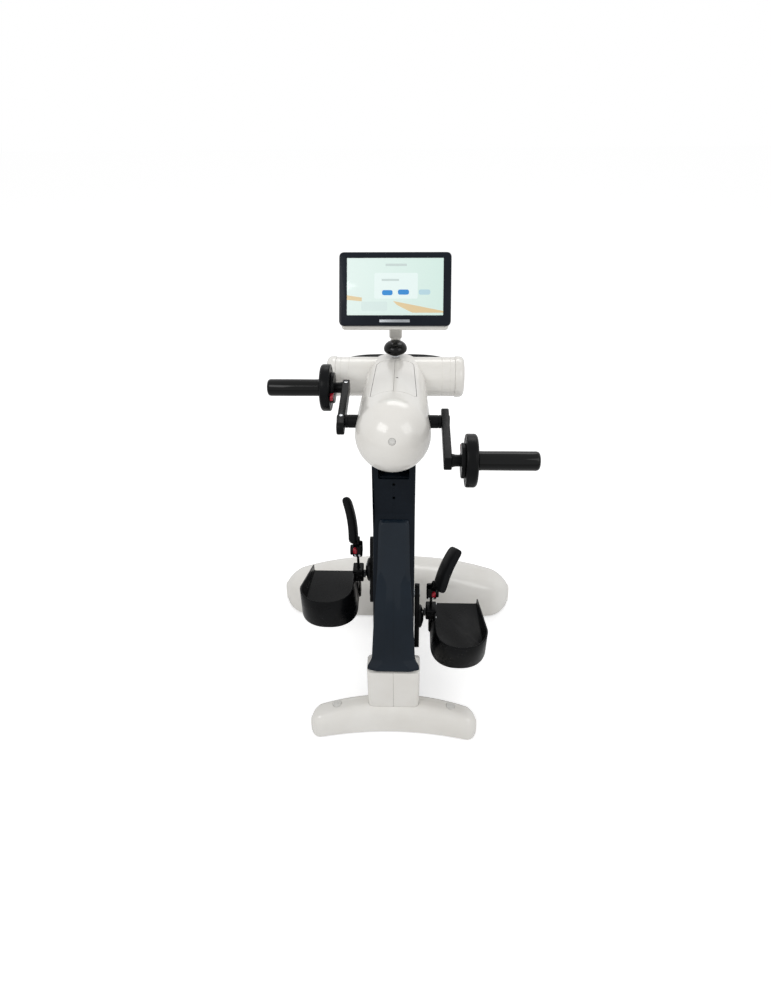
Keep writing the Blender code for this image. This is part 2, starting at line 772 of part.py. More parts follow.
def make_column_housing():
    """Dark side shells of the column, split at X = 0, with the cavity under the head."""
    post_half = POST_SIZE / 2 + 0.001
    for side, word in ((-1, "left"), (1, "right")):
        near, far = side * GAP / 2, side * COLUMN_HALF_WIDTH
        shell = prism("shell", [column_outline(0.0)], min(near, far), max(near, far))
        inner = COLUMN_HALF_WIDTH - COLUMN_WALL
        shop.cut(shell, prism("inner", [column_outline(COLUMN_WALL)], -inner, inner))
        shop.cut(shell, box("open_foot", (-inner, -0.3, 0.05), (inner, 0.1, 0.08)))
        shop.cut(shell, box("post_hole", (-post_half, POST_Y - post_half, POST_TOP),
                            (post_half, POST_Y + post_half, COLUMN_TOP_BACK + 0.01)))
        shop.cut(shell, box("cavity", (-CAVITY_HALF_WIDTH, COLUMN_FRONT - 0.01, CAVITY_BOTTOM),
                            (CAVITY_HALF_WIDTH, POST_Y - post_half, 0.80)))
        shop.cut(shell, rod("shaft_hole", LEG_SHAFT_RADIUS + 0.002, (-0.1, LEG_AXIS_Y, LEG_AXIS_Z),
                            (0.1, LEG_AXIS_Y, LEG_AXIS_Z)))
        for height in (0.590, 0.626):
            shop.cut(shell, rod("screw_hole", 0.0035, (0, COLUMN_FRONT - 0.01, height),
                                (0, COLUMN_FRONT + 0.01, height), 16))
        shop.keep(shell, "column_shell_" + word, "column_dark", "root")


def make_front_cover():
    """Raised glossy cover over the motor, with a centre face that narrows below the bend."""
    stations = [
        (COVER_BOTTOM, COVER_LIP_HALF, 0.040),
        (COVER_BOTTOM + 0.010, COVER_LIP_HALF - 0.002, 0.036),
        (COVER_BOTTOM + 0.026, COVER_BOTTOM_HALF, 0.020),
        (0.300, COVER_BOTTOM_HALF - 0.0035, 0.0165),
        (COVER_MID - 0.010, 0.0385, 0.0155),
        (COVER_MID, 0.0378, 0.0200),
        (COVER_MID + 0.016, 0.0365, 0.0270),
        (COVER_TOP - 0.008, COVER_TOP_HALF, 0.0280),
        (COVER_TOP, COVER_TOP_HALF - 0.004, 0.0240),
    ]
    rings = []
    for index, (height, half, face) in enumerate(stations):
        back = housing_front(height) - GAP
        front = back - COVER_THICKNESS
        if index == len(stations) - 1:
            front = back - 0.004
        edge = back - 0.0035
        rings.append([(-half, back, height), (-half, edge, height), (-face, front, height),
                      (face, front, height), (half, edge, height), (half, back, height)])
    cover = loft("front_cover", rings)
    shop.keep(cover, "front_cover", "cover_gloss", "root", 20)


def housing_front(height):
    """Y of the housing's front face at a height, along the outline's three straights."""
    line = [(COVER_BOTTOM, COVER_BOTTOM_FRONT), (COVER_MID, COVER_MID_FRONT), (COVER_TOP, COVER_TOP_FRONT)]
    for (low, first), (high, second) in zip(line, line[1:]):
        if height <= high or high == COVER_TOP:
            share = (height - low) / (high - low)
            return first + (second - first) * share + COVER_THICKNESS
    return COVER_TOP_FRONT + COVER_THICKNESS


def make_column_frame():
    """Steel frame inside the column: post sleeve, two side plates, foot plate and bridge."""
    half = POST_SIZE / 2
    inner = half - POST_WALL
    outer_x = PLATE_X + PLATE_THICKNESS
    floor = PAD_HEIGHT + BEAM_HEIGHT + GAP
    frame = box("post", (-half, POST_Y - half, POST_BOTTOM), (half, POST_Y + half, POST_TOP))
    outline = [(PLATE_FRONT, floor), (PLATE_FRONT - 0.003, PLATE_SHOULDER), (PLATE_NECK, POST_BOTTOM + 0.010),
               (POST_Y + half, POST_BOTTOM + 0.010), (POST_Y + half, PLATE_WAIST),
               (PLATE_BACK, PLATE_HEEL), (PLATE_BACK, floor)]
    for side in (-1, 1):
        low, high = sorted((side * PLATE_X, side * outer_x))
        shop.join(frame, prism("plate", [outline], low, high))
    shop.join(frame, box("bridge", (-outer_x, PLATE_NECK + 0.005, POST_BOTTOM - 0.004),
                         (outer_x, POST_Y + half - 0.001, POST_BOTTOM + 0.006)))
    shop.join(frame, box("foot", (-outer_x, PLATE_FRONT + 0.004, floor),
                         (outer_x, PLATE_BACK - 0.006, floor + FRAME_FOOT_THICKNESS)))
    shop.cut(frame, box("bore", (-inner, POST_Y - inner, POST_BOTTOM + 0.010),
                        (inner, POST_Y + inner, POST_TOP + 0.01)))
    reach = 2 * outer_x
    shop.cut(frame, rod("bearing_seat", LEG_BEARING_RADIUS + GAP, (-reach, LEG_AXIS_Y, LEG_AXIS_Z),
                        (reach, LEG_AXIS_Y, LEG_AXIS_Z)))
    shop.keep(frame, "column_frame", "frame_steel", "root")


def make_leg_drive():
    motor = rod("motor", MOTOR_RADIUS, (MOTOR_LEFT, MOTOR_Y, MOTOR_Z), (MOTOR_RIGHT, MOTOR_Y, MOTOR_Z),
                32, 0.003)
    shop.cut(motor, rod("rotor_bore", 0.0063, (MOTOR_RIGHT - 0.016, MOTOR_Y, MOTOR_Z),
                        (MOTOR_RIGHT + 0.01, MOTOR_Y, MOTOR_Z), 20))
    shop.keep(motor, "leg_motor", "motor_alloy", "root")

    shop.carrier("motor_rotor", (PULLEY_LEFT, MOTOR_Y, MOTOR_Z), "root")
    width = PULLEY_RIGHT - PULLEY_LEFT
    stub = PULLEY_LEFT - (MOTOR_RIGHT - 0.014)
    pulley = turned("pulley", [(0, width), (MOTOR_PULLEY_RADIUS, width), (MOTOR_PULLEY_RADIUS, 0),
                               (0.006, 0), (0.006, -stub), (0, -stub)],
                    (PULLEY_LEFT, MOTOR_Y, MOTOR_Z), (1, 0, 0), 32)
    shop.keep(pulley, "motor_pulley", "bright_steel", "motor_rotor")

    loops = [belt_loop(BELT_THICKNESS + GAP), belt_loop(GAP)]
    belt = prism("belt", loops, PULLEY_LEFT + 0.001, PULLEY_RIGHT - 0.001)
    shop.keep(belt, "drive_belt", "belt_rubber", "root")

    for side, word in ((-1, "left"), (1, "right")):
        middle = side * (PLATE_X + PLATE_THICKNESS / 2)
        low, high = middle - LEG_BEARING_WIDTH / 2, middle + LEG_BEARING_WIDTH / 2
        bearing = ring("bearing", LEG_BEARING_RADIUS, LEG_SHAFT_RADIUS + GAP,
                       (low, LEG_AXIS_Y, LEG_AXIS_Z), (high, LEG_AXIS_Y, LEG_AXIS_Z))
        shop.keep(bearing, "leg_bearing_" + word, "bright_steel", "root")

    shop.carrier("leg_cranks", (0, LEG_AXIS_Y, LEG_AXIS_Z), "root")
    shaft_end = LEG_CRANK_INNER + LEG_CRANK_THICKNESS + 0.001
    shaft = rod("shaft", LEG_SHAFT_RADIUS, (-shaft_end, LEG_AXIS_Y, LEG_AXIS_Z),
                (shaft_end, LEG_AXIS_Y, LEG_AXIS_Z), 32, 0.001)
    shop.keep(shaft, "leg_shaft", "bright_steel", "leg_cranks")
    big = ring("crank_pulley", CRANK_PULLEY_RADIUS, LEG_SHAFT_RADIUS + GAP,
               (PULLEY_LEFT, LEG_AXIS_Y, LEG_AXIS_Z), (PULLEY_RIGHT, LEG_AXIS_Y, LEG_AXIS_Z), 48)
    shop.keep(big, "crank_pulley", "motor_alloy", "leg_cranks")


def belt_loop(offset):
    """Outline of an open belt run round both pulleys, (y, z), offset from their rims."""
    first = Vector((MOTOR_Y, MOTOR_Z))
    second = Vector((LEG_AXIS_Y, LEG_AXIS_Z))
    small = MOTOR_PULLEY_RADIUS + offset
    large = CRANK_PULLEY_RADIUS + offset
    across = second - first
    heading = math.degrees(math.atan2(across.y, across.x))
    lean = math.degrees(math.asin((large - small) / across.length))
    points = arc(second, large, heading - 90 - lean, heading + 90 + lean, 24)
    points += arc(first, small, heading + 90 + lean, heading + 270 - lean, 12)
    return points


def bar_outline(centre, angle, long_end, short_end, half, square_end=False):
    """Outline of a crank bar in the side plane; angle is measured from +Y towards +Z."""
    turn = math.radians(angle)
    if square_end:
        tip = [(long_end, -half + 0.004), (long_end, half - 0.004), (long_end - 0.004, half)]
        tail = arc((-short_end + half, 0), half, 90, 270, 8)
        local = tip + tail + [(long_end - 0.004, -half)]
    else:
        tip = arc((long_end - half, 0), half, -90, 90, 8)
        tail = arc((-short_end + half, 0), half, 90, 270, 8)
        local = tip + tail
    cos, sin = math.cos(turn), math.sin(turn)
    return [(centre[0] + u * cos - v * sin, centre[1] + u * sin + v * cos) for u, v in local]


def leg_direction(side):
    """Unit step from the leg axle to the pedal pin; the right pin is half a turn away."""
    angle = math.radians(90 - LEG_CRANK_TILT)
    sign = -side
    return sign * math.cos(angle), sign * math.sin(angle)


def pedal_place(side):
    step = leg_direction(side)
    return LEG_AXIS_Y + LEG_CRANK_RADIUS * step[0], LEG_AXIS_Z + LEG_CRANK_RADIUS * step[1]


def x_span(side, first, second):
    return tuple(sorted((side * first, side * second)))


def make_leg_cranks():
    for side, word in ((-1, "left"), (1, "right")):
        step = leg_direction(side)
        angle = math.degrees(math.atan2(step[1], step[0]))
        outline = bar_outline((LEG_AXIS_Y, LEG_AXIS_Z), angle, LEG_CRANK_LONG, LEG_CRANK_SHORT,
                              LEG_CRANK_HALF)
        outer = LEG_CRANK_INNER + LEG_CRANK_THICKNESS
        crank = prism("crank", [outline], *x_span(side, LEG_CRANK_INNER, outer))
        shop.cut(crank, rod("bore", LEG_SHAFT_RADIUS + GAP, (-0.1, LEG_AXIS_Y, LEG_AXIS_Z),
                            (0.1, LEG_AXIS_Y, LEG_AXIS_Z), 32))
        pin_y, pin_z = pedal_place(side)
        shop.join(crank, rod("pin", PEDAL_PIN_RADIUS, (side * (outer - 0.004), pin_y, pin_z),
                             (side * PEDAL_PIN_END, pin_y, pin_z), 24))
        disc = LEG_CRANK_RADIUS + CLAMP_DISC_OFFSET
        disc_place = (LEG_AXIS_Y + disc * step[0], LEG_AXIS_Z + disc * step[1])
        high = CLAMP_DISC_THICKNESS
        profile = [(0, high), (HUB_RADIUS + 0.003, high), (CLAMP_DISC_RADIUS - 0.003, high * 0.55),
                   (CLAMP_DISC_RADIUS, high * 0.3), (CLAMP_DISC_RADIUS, -0.002), (0, -0.002)]
        shop.join(crank, turned("clamp_disc", profile, (side * outer, *disc_place), (side, 0, 0), 36))
        for reach in LEG_CRANK_HOLES:
            hole_y, hole_z = LEG_AXIS_Y + reach * step[0], LEG_AXIS_Z + reach * step[1]
            shop.cut(crank, rod("hole", PEDAL_PIN_RADIUS, (-0.1, hole_y, hole_z), (0.1, hole_y, hole_z), 20))
        shop.keep(crank, "leg_crank_" + word, "black_plastic", "leg_cranks")


def make_pedal(side, word, tilt, lean):
    """Hub, bracket, foot cup and calf support of one pedal."""
    y, z = pedal_place(side)
    pedal_turn = about_x(y, z, tilt)
    hub_body, pedal_body = "pedal_hub_" + word, "pedal_" + word
    calf_body, button_body = "calf_support_" + word, "calf_button_" + word
    shop.carrier(hub_body, (0, y, z), "leg_cranks")
    shop.carrier(pedal_body, (0, y, z), hub_body)

    hub_start = LEG_CRANK_INNER + LEG_CRANK_THICKNESS + CLAMP_DISC_THICKNESS + GAP
    hub_end = PEDAL_PIN_END - 0.001
    collar_end = BRACKET_INNER - 0.001
    bore = PEDAL_PIN_RADIUS + GAP
    profile = [(bore, hub_end), (HUB_RADIUS, hub_end), (HUB_RADIUS, collar_end),
               (HUB_RADIUS + 0.001, collar_end), (HUB_RADIUS + 0.001, hub_start), (bore, hub_start)]
    hub = turned("hub", profile, (0, y, z), (side, 0, 0), 32, closed=True)
    shop.keep(hub, "pedal_hub_" + word, "frame_steel", hub_body)

    plate_low = PEDAL_SOLE - PEDAL_SOLE_THICKNESS - 0.005
    near, far = x_span(side, BRACKET_INNER, BRACKET_OUTER)
    bracket = box("bracket", (near, y - BRACKET_HALF_LENGTH, z + BRACKET_BOTTOM),
                  (far, y + BRACKET_HALF_LENGTH, z + BRACKET_TOP), 0.003, 2)
    web_outer = PEDAL_INNER - GAP
    web_half = BRACKET_HALF_LENGTH - 0.0045
    near, far = x_span(side, web_outer - BRACKET_PLATE, web_outer)
    shop.join(bracket, box("web", (near, y - web_half, z + plate_low + 0.001),
                           (far, y + web_half, z + BRACKET_BOTTOM + 0.006)))
    near, far = x_span(side, web_outer - BRACKET_PLATE / 2, PEDAL_INNER + PEDAL_WIDTH * 0.6)
    shop.join(bracket, box("shelf", (near, y - web_half - 0.002, z + plate_low),
                           (far, y + web_half + 0.002, z + plate_low + 0.005 - GAP)))
    shop.cut(bracket, rod("bore", HUB_RADIUS + GAP, (side * 0.05, y, z), (side * 0.15, y, z), 32))
    shop.cut(bracket, rod("rod_hole", CALF_ROD_RADIUS + GAP, (side * CALF_X, y, z + BRACKET_TOP - 0.012),
                          (side * CALF_X, y, z + BRACKET_TOP + 0.01), 20))
    moved_keep(bracket, pedal_turn, "pedal_bracket_" + word, "black_plastic", pedal_body)

    cup = make_cup(side, y, z)
    moved_keep(cup, pedal_turn, "pedal_cup_" + word, "black_plastic", pedal_body)

    half_w, half_d = CALF_BLOCK_WIDTH / 2, CALF_BLOCK_DEPTH / 2
    near, far = x_span(side, CALF_X - half_w, CALF_X + half_w)
    arm = box("arm", (near, y - half_d, z + CALF_BLOCK_BOTTOM),
              (far, y + half_d, z + CALF_BLOCK_TOP), 0.004, 3)
    shop.join(arm, rod("rod", CALF_ROD_RADIUS, (side * CALF_X, y, z + BRACKET_TOP - 0.0115),
                       (side * CALF_X, y, z + CALF_BLOCK_BOTTOM + 0.004), 20))
    fork = 0.0065 + GAP
    shop.cut(arm, box("fork", (side * CALF_X - 0.02, y - fork, z + CALF_PIVOT - 0.013),
                      (side * CALF_X + 0.02, y + fork, z + CALF_BLOCK_TOP + 0.01)))
    knob_back = CALF_X + half_w - 0.0005
    knob_face = CALF_X + half_w + CALF_KNOB_THICKNESS
    knob_z = z + CALF_KNOB_Z
    shop.join(arm, rod("knob", CALF_KNOB_RADIUS, (side * knob_back, y, knob_z),
                       (side * knob_face, y, knob_z), 28, 0.0015))
    button_x = side * (CALF_X + CALF_BUTTON_OFFSET)
    button_z = z + CALF_BUTTON_Z
    shop.cut(arm, prism("button_bore", [button_outline(button_x, button_z, GAP)], y - half_d - 0.01,
                        y - fork + 0.0005, "Y"))
    moved_keep(arm, pedal_turn, "calf_arm_" + word, "black_plastic", pedal_body)

    pivot = pedal_turn @ Vector((side * CALF_X, y, z + CALF_PIVOT))
    shop.carrier(calf_body, pivot, pedal_body)
    pad = make_calf_pad(side, y, z, lean)
    moved_keep(pad, pedal_turn, "calf_pad_" + word, "black_pad", calf_body)

    shop.carrier(button_body, pedal_turn @ Vector((button_x, y - half_d, button_z)), pedal_body)
    button = prism("button", [button_outline(button_x, button_z, 0.0)], y - half_d - 0.0042,
                   y - fork - 0.003, "Y")
    moved_keep(button, pedal_turn, "calf_button_" + word, "red_plastic", button_body)


def button_outline(x, z, grow):
    """Tall outline with round ends, as (z, x) points."""
    half = CALF_BUTTON_WIDTH / 2
    lift = CALF_BUTTON_HEIGHT / 2 - half
    return arc((z + lift, x), half + grow, -90, 90, 10) + arc((z - lift, x), half + grow, 90, 270, 10)


def about_x(y, z, degrees):
    """A turn about the X-wise axis at (y, z); positive lifts the toe end."""
    centre = Matrix.Translation((0, y, z))
    return centre @ Matrix.Rotation(math.radians(degrees), 4, "X") @ centre.inverted()


def moved_keep(piece, matrix, name, material, body):
    """Keep a piece after turning it together with the tools that shape it."""
    piece.data.transform(matrix)
    for modifier in piece.modifiers:
        modifier.object.data.transform(matrix)
    shop.keep(piece, name, material, body)


def cup_plan(side, y, inset, lean=0.0):
    """Plan of the cup: near-straight sides, an open toe and a round heel, as (x, y) points."""
    inner = PEDAL_INNER + inset + lean
    outer = PEDAL_INNER + PEDAL_WIDTH - inset
    middle = (inner + outer) / 2
    half = (outer - inner) / 2
    heel = y + PEDAL_HEEL + inset + lean * 0.5
    toe = y + PEDAL_TOE + (0.02 if inset else 0.0)
    taper = PEDAL_TOE_TAPER * (toe - heel) / (PEDAL_TOE - PEDAL_HEEL)
    depth = half * 0.95
    count = 18
    points = [(side * (outer - taper), toe)]
    for i in range(count + 1):
        angle = math.pi * i / count
        u = math.copysign(abs(math.cos(angle)) ** (2 / 2.3), math.cos(angle))
        v = math.sin(angle) ** (2 / 2.3) if 0 < i < count else 0.0
        points.append((side * (middle + half * u), heel + depth - depth * v))
    points.append((side * inner, toe))
    return points


def make_cup(side, y, z):
    """A cup with an inner wall that leans in, a sloping outer wall and a slot for a strap."""
    low = z + PEDAL_SOLE - PEDAL_SOLE_THICKNESS
    floor = z + PEDAL_SOLE
    high = floor + PEDAL_WALL_HEIGHT
    above = high + 0.01
    lean_above = PEDAL_WALL_LEAN * (above - floor) / PEDAL_WALL_HEIGHT
    cup = loft("cup", [at_height(cup_plan(side, y, 0.0), low), at_height(cup_plan(side, y, 0.0), floor),
                       at_height(cup_plan(side, y, 0.0, PEDAL_WALL_LEAN), high)])
    shop.cut(cup, loft("inside", [at_height(cup_plan(side, y, PEDAL_WALL), floor),
                                  at_height(cup_plan(side, y, PEDAL_WALL, lean_above), above)]))
    near, far = x_span(side, PEDAL_INNER - 0.01, BRACKET_OUTER + 0.001)
    shop.cut(cup, box("notch", (near, y - BRACKET_HALF_LENGTH - 0.002, z + BRACKET_BOTTOM - GAP),
                      (far, y + PEDAL_TOE + 0.03, above)))
    toe = y + PEDAL_TOE
    inner_slope = [(y - BRACKET_HALF_LENGTH - 0.002, z + BRACKET_BOTTOM), (toe + 0.01, z + BRACKET_BOTTOM),
                   (toe + 0.01, floor + 0.010), (y + PEDAL_TOE * 0.5, floor + 0.014)]
    shop.cut(cup, prism("inner_slope", [inner_slope], near, far))
    outer = PEDAL_INNER + PEDAL_WIDTH
    near, far = x_span(side, outer - PEDAL_TOE_TAPER - 0.008, outer + 0.01)
    slope = [(y + PEDAL_SLOPE_START, high + 0.001), (toe + 0.01, high + 0.001),
             (toe + 0.01, floor + PEDAL_TOE_WALL), (toe, floor + PEDAL_TOE_WALL)]
    shop.cut(cup, prism("slope", [slope], near, far))
    slot_low = z + PEDAL_SLOT_Z - PEDAL_SLOT_HEIGHT / 2
    shop.cut(cup, box("slot", (near, y + PEDAL_SLOT_START, slot_low),
                      (far, y + PEDAL_SLOT_START + PEDAL_SLOT_LENGTH, slot_low + PEDAL_SLOT_HEIGHT),
                      PEDAL_SLOT_HEIGHT * 0.45, 3, "X"))
    return cup


def at_height(plan, height):
    return [(x, y, height) for x, y in plan]


def make_calf_pad(side, y, z, lean):
    """A pad that curves outwards with height, on a lug in the arm's fork."""
    pivot_z = z + CALF_PIVOT
    radius = CALF_PAD_BEND
    turn = math.radians(CALF_PAD_TURN)
    half = CALF_PAD_THICKNESS / 2
    start = pivot_z + 0.016
    rings = []
    count = 9
    for i in range(count + 1):
        share = i / count
        bend = share * CALF_PAD_LENGTH / radius
        x = radius * (1 - math.cos(bend))
        up = radius * math.sin(bend)
        end = min(share, 1 - share) * count
        shrink = 0.72 if end < 0.5 else 1.0
        width = CALF_PAD_WIDTH / 2 * (0.86 if end < 0.5 else 1.0)
        normal = Vector((math.cos(bend), 0, -math.sin(bend)))
        centre = Vector((x, 0, up))
        section = pad_section(half * shrink, width)
        ring_points = []
        for u, v in section:
            point = centre + normal * u
            along = point.z - CALF_PAD_DROP
            across = v - CALF_PAD_SHIFT
            ring_points.append((side * (CALF_X + CALF_PAD_OUT + point.x),
                                y + across * math.cos(turn) + along * math.sin(turn),
                                start - across * math.sin(turn) + along * math.cos(turn)))
        rings.append(ring_points)
    pad = loft("calf_pad", rings)
    lug_half = 0.0065
    near, far = x_span(side, CALF_X - 0.006, CALF_X + 0.006)
    shop.join(pad, box("lug", (near, y - lug_half, pivot_z - 0.008), (far, y + lug_half, start + 0.012),
                       0.003, 2, "Y"))
    lean_turn = (Matrix.Translation((side * CALF_X, y, pivot_z))
                 @ Matrix.Rotation(math.radians(side * lean), 4, "Y")
                 @ Matrix.Translation((-side * CALF_X, -y, -pivot_z)))
    pad.data.transform(lean_turn)
    for modifier in pad.modifiers:
        modifier.object.data.transform(lean_turn)
    return pad


def pad_section(half, width, count=16):
    """A flat oval, thick across u and wide across v, slightly hollow on the outer side."""
    points = []
    for i in range(count):
        angle = 2 * math.pi * i / count
        u = math.copysign(abs(math.cos(angle)) ** 0.6, math.cos(angle)) * half
        v = math.copysign(abs(math.sin(angle)) ** 0.6, math.sin(angle)) * width
        points.append((u, v))
    return points


def head_rings(inset, around=28):
    """Egg-shaped head: a big ball at the rider's side, a small end round the cross tube."""
    big = HEAD_FRONT_RADIUS - inset
    small = HEAD_BACK_RADIUS - inset
    neck = HEAD_NECK_HALF - inset
    origin = Vector((0, HEAD_FRONT_Y, HEAD_FRONT_Z))
    across = Vector((0, TUBE_AXIS_Y, TUBE_AXIS_Z)) - origin
    length = across.length
    forward = across / length
    up = Vector((0, -forward.z, forward.y))
    lean = math.asin((HEAD_FRONT_RADIUS - HEAD_BACK_RADIUS) / length)
    start, end = big * math.sin(lean), length + small * math.sin(lean)
    stations = [-big * math.cos(math.radians(a)) for a in (6, 20, 34, 48, 62, 76, 90)]
    stations += [start + (end - start) * k / 7 for k in range(8)]
    stations += [length + small * math.sin(math.radians(a)) for a in (32, 48, 64, 78, 86)]
    rings = []
    for s in stations:
        if s < start:
            rise = math.sqrt(max(big ** 2 - s ** 2, 0))
            width, power = rise, 2.0
        else:
            share = min(1.0, (s - start) / (end - start))
            if s <= end:
                rise = (big + (small - big) * share) * math.cos(lean)
            else:
                rise = math.sqrt(max(small ** 2 - (s - length) ** 2, 0))
            smooth = share * share * (3 - 2 * share)
            width = big * math.cos(lean) + (neck - big * math.cos(lean)) * smooth
            power = 2.0 + 0.15 * smooth
            if s > end:
                width *= max(0.45, math.sqrt(rise / (small * math.cos(lean))))
        points = []
        for i in range(around):
            angle = 2 * math.pi * i / around
            u = math.copysign(abs(math.cos(angle)) ** (2 / power), math.cos(angle)) * width
            v = math.copysign(abs(math.sin(angle)) ** (2 / power), math.sin(angle)) * rise
            points.append(origin + forward * s + up * v + Vector((u, 0, 0)))
        rings.append(points)
    return rings


def panel_plan(inset):
    """Plan of the opening on top of the head, (x, y), drawn in by inset."""
    front, back = PANEL_FRONT + inset, PANEL_BACK - inset
    corners = [(-PANEL_FRONT_HALF + inset, front), (PANEL_FRONT_HALF - inset, front),
               (PANEL_BACK_HALF - inset, back), (-PANEL_BACK_HALF + inset, back)]
    return round_corners(corners, 0.012)


def cross_tube_bore(name, radius):
    return rod(name, radius, (-0.2, TUBE_AXIS_Y, TUBE_AXIS_Z), (0.2, TUBE_AXIS_Y, TUBE_AXIS_Z), 48)


def make_head_shell():
    shell = loft("head_shell", head_rings(0.0))
    shop.cut(shell, loft("inner", head_rings(HEAD_WALL)))
    shop.cut(shell, rod("socket_room", STALK_SPIGOT_RADIUS + 0.003, (0, STALK_Y, STALK_SEAT - 0.03),
                        (0, STALK_Y, STALK_SEAT + 0.03), 24))
    shop.join(shell, ring("socket", STALK_SPIGOT_RADIUS + 0.0045, STALK_SPIGOT_RADIUS + GAP,
                          (0, STALK_Y, STALK_SEAT - STALK_SOCKET_DEPTH), (0, STALK_Y, STALK_SEAT), 28))
    shop.cut(shell, cross_tube_bore("tube_bore", TUBE_RADIUS + GAP))
    slot = POST_SIZE / 2 - POST_WALL + 0.002
    shop.cut(shell, box("post_slot", (-slot, POST_Y - slot, 0.65), (slot, POST_Y + slot, HEAD_POST_TOP)))
    panel_low = HEAD_FRONT_Z + HEAD_FRONT_RADIUS / 3
    panel_high = HEAD_FRONT_Z + HEAD_FRONT_RADIUS * 2
    reach = HEAD_FRONT_RADIUS * 1.5
    shop.cut(shell, prism("panel_opening", [panel_plan(0.0)], panel_low, panel_high, "Z"))
    shop.cut(shell, rod("shaft_hole", ARM_SLEEVE_RADIUS + 0.0006, (-reach, ARM_AXIS_Y, ARM_AXIS_Z),
                        (reach, ARM_AXIS_Y, ARM_AXIS_Z), 32))
    shop.cut(shell, rod("knob_hole", KNOB_STEM_RADIUS + GAP, (0, KNOB_Y, panel_low),
                        (0, KNOB_Y, panel_high), 20))
    start, way = button_axis()
    shop.cut(shell, rod("button_hole", BUTTON_RADIUS + GAP, start - way * 0.02, start + way * 0.02, 24))
    shop.keep(shell, "head_shell", "white_shell", "head", 50)

    for side, word in ((-1, "left"), (1, "right")):
        panel = loft("panel", head_rings(0.0))
        shop.cut(panel, loft("inner", head_rings(HEAD_WALL)))
        shop.common(panel, prism("panel_plan", [panel_plan(GAP)], panel_low, panel_high, "Z"))
        near, far = x_span(side, GAP / 2, reach)
        shop.common(panel, box("half", (near, PANEL_FRONT - reach, panel_low - reach),
                               (far, PANEL_BACK + reach, panel_high + reach)))
        shop.keep(panel, "top_panel_" + word, "white_shell", "head", 50)


def button_axis():
    rise = math.radians(BUTTON_RISE)
    way = Vector((0, -math.cos(rise), math.sin(rise)))
    centre = Vector((0, HEAD_FRONT_Y, HEAD_FRONT_Z))
    return centre + way * HEAD_FRONT_RADIUS, way


def make_power_button():
    start, way = button_axis()
    shop.carrier("power_button", start, "head")
    flange = BUTTON_RADIUS + 0.002
    button = turned("button", [(0, 0.0004), (BUTTON_RADIUS - 0.0008, 0.0004), (BUTTON_RADIUS, -0.0006),
                               (BUTTON_RADIUS, -0.0043), (flange, -0.0043), (flange, -0.0065), (0, -0.0065)],
                    start, way, 24)
    shop.keep(button, "power_button", "grey_plug", "power_button")


def make_arm_drive():
    """Arm motor on two plates that run from the post's block back to the cross tube."""
    motor = rod("motor", ARM_MOTOR_RADIUS, (-ARM_MOTOR_HALF, ARM_AXIS_Y, ARM_AXIS_Z),
                (ARM_MOTOR_HALF, ARM_AXIS_Y, ARM_AXIS_Z), 32, 0.003)
    for side in (-1, 1):
        shop.join(motor, prism("clamp", [clamp_outline()], *x_span(side, CLAMP_X - CLAMP_THICKNESS, CLAMP_X)))
    shop.cut(motor, cross_tube_bore("tube_seat", TUBE_RADIUS + GAP))
    shop.cut(motor, rod("shaft_bore", ARM_SHAFT_RADIUS + GAP, (-0.1, ARM_AXIS_Y, ARM_AXIS_Z),
                        (0.1, ARM_AXIS_Y, ARM_AXIS_Z), 24))
    shop.keep(motor, "arm_motor", "motor_alloy", "head")


def clamp_outline():
    """Side outline of a plate: round at the motor, straight across where it meets the tube."""
    points = arc((ARM_AXIS_Y, ARM_AXIS_Z), 0.030, 95, 265, 12)
    points += [(CLAMP_BACK, TUBE_AXIS_Z - 0.034), (CLAMP_BACK, TUBE_AXIS_Z + 0.040)]
    return points


def make_cross_tube():
    """White grab tube through the back of the head, with an end cap on each side."""
    end = TUBE_HALF_LENGTH
    bore = TUBE_RADIUS - TUBE_WALL
    shop.carrier("grab_bar", (0, TUBE_AXIS_Y, TUBE_AXIS_Z), "head")
    tube = ring("tube", TUBE_RADIUS, bore, (-end, TUBE_AXIS_Y, TUBE_AXIS_Z),
                (end, TUBE_AXIS_Y, TUBE_AXIS_Z), 48)
    shop.keep(tube, "cross_tube", "white_shell", "grab_bar")
    plug = bore - GAP
    profile = [(0, CAP_LENGTH), (CAP_RADIUS * 0.72, CAP_LENGTH), (CAP_RADIUS * 0.9, CAP_LENGTH - 0.0025),
               (CAP_RADIUS - 0.0004, CAP_LENGTH - 0.008), (CAP_RADIUS, 0.004), (CAP_RADIUS - 0.001, GAP),
               (plug, GAP), (plug, -0.012), (0, -0.012)]
    for side, word in ((-1, "left"), (1, "right")):
        cap = turned("cap", profile, (side * end, TUBE_AXIS_Y, TUBE_AXIS_Z), (side, 0, 0), 40)
        shop.keep(cap, "end_cap_" + word, "white_shell", "grab_bar")


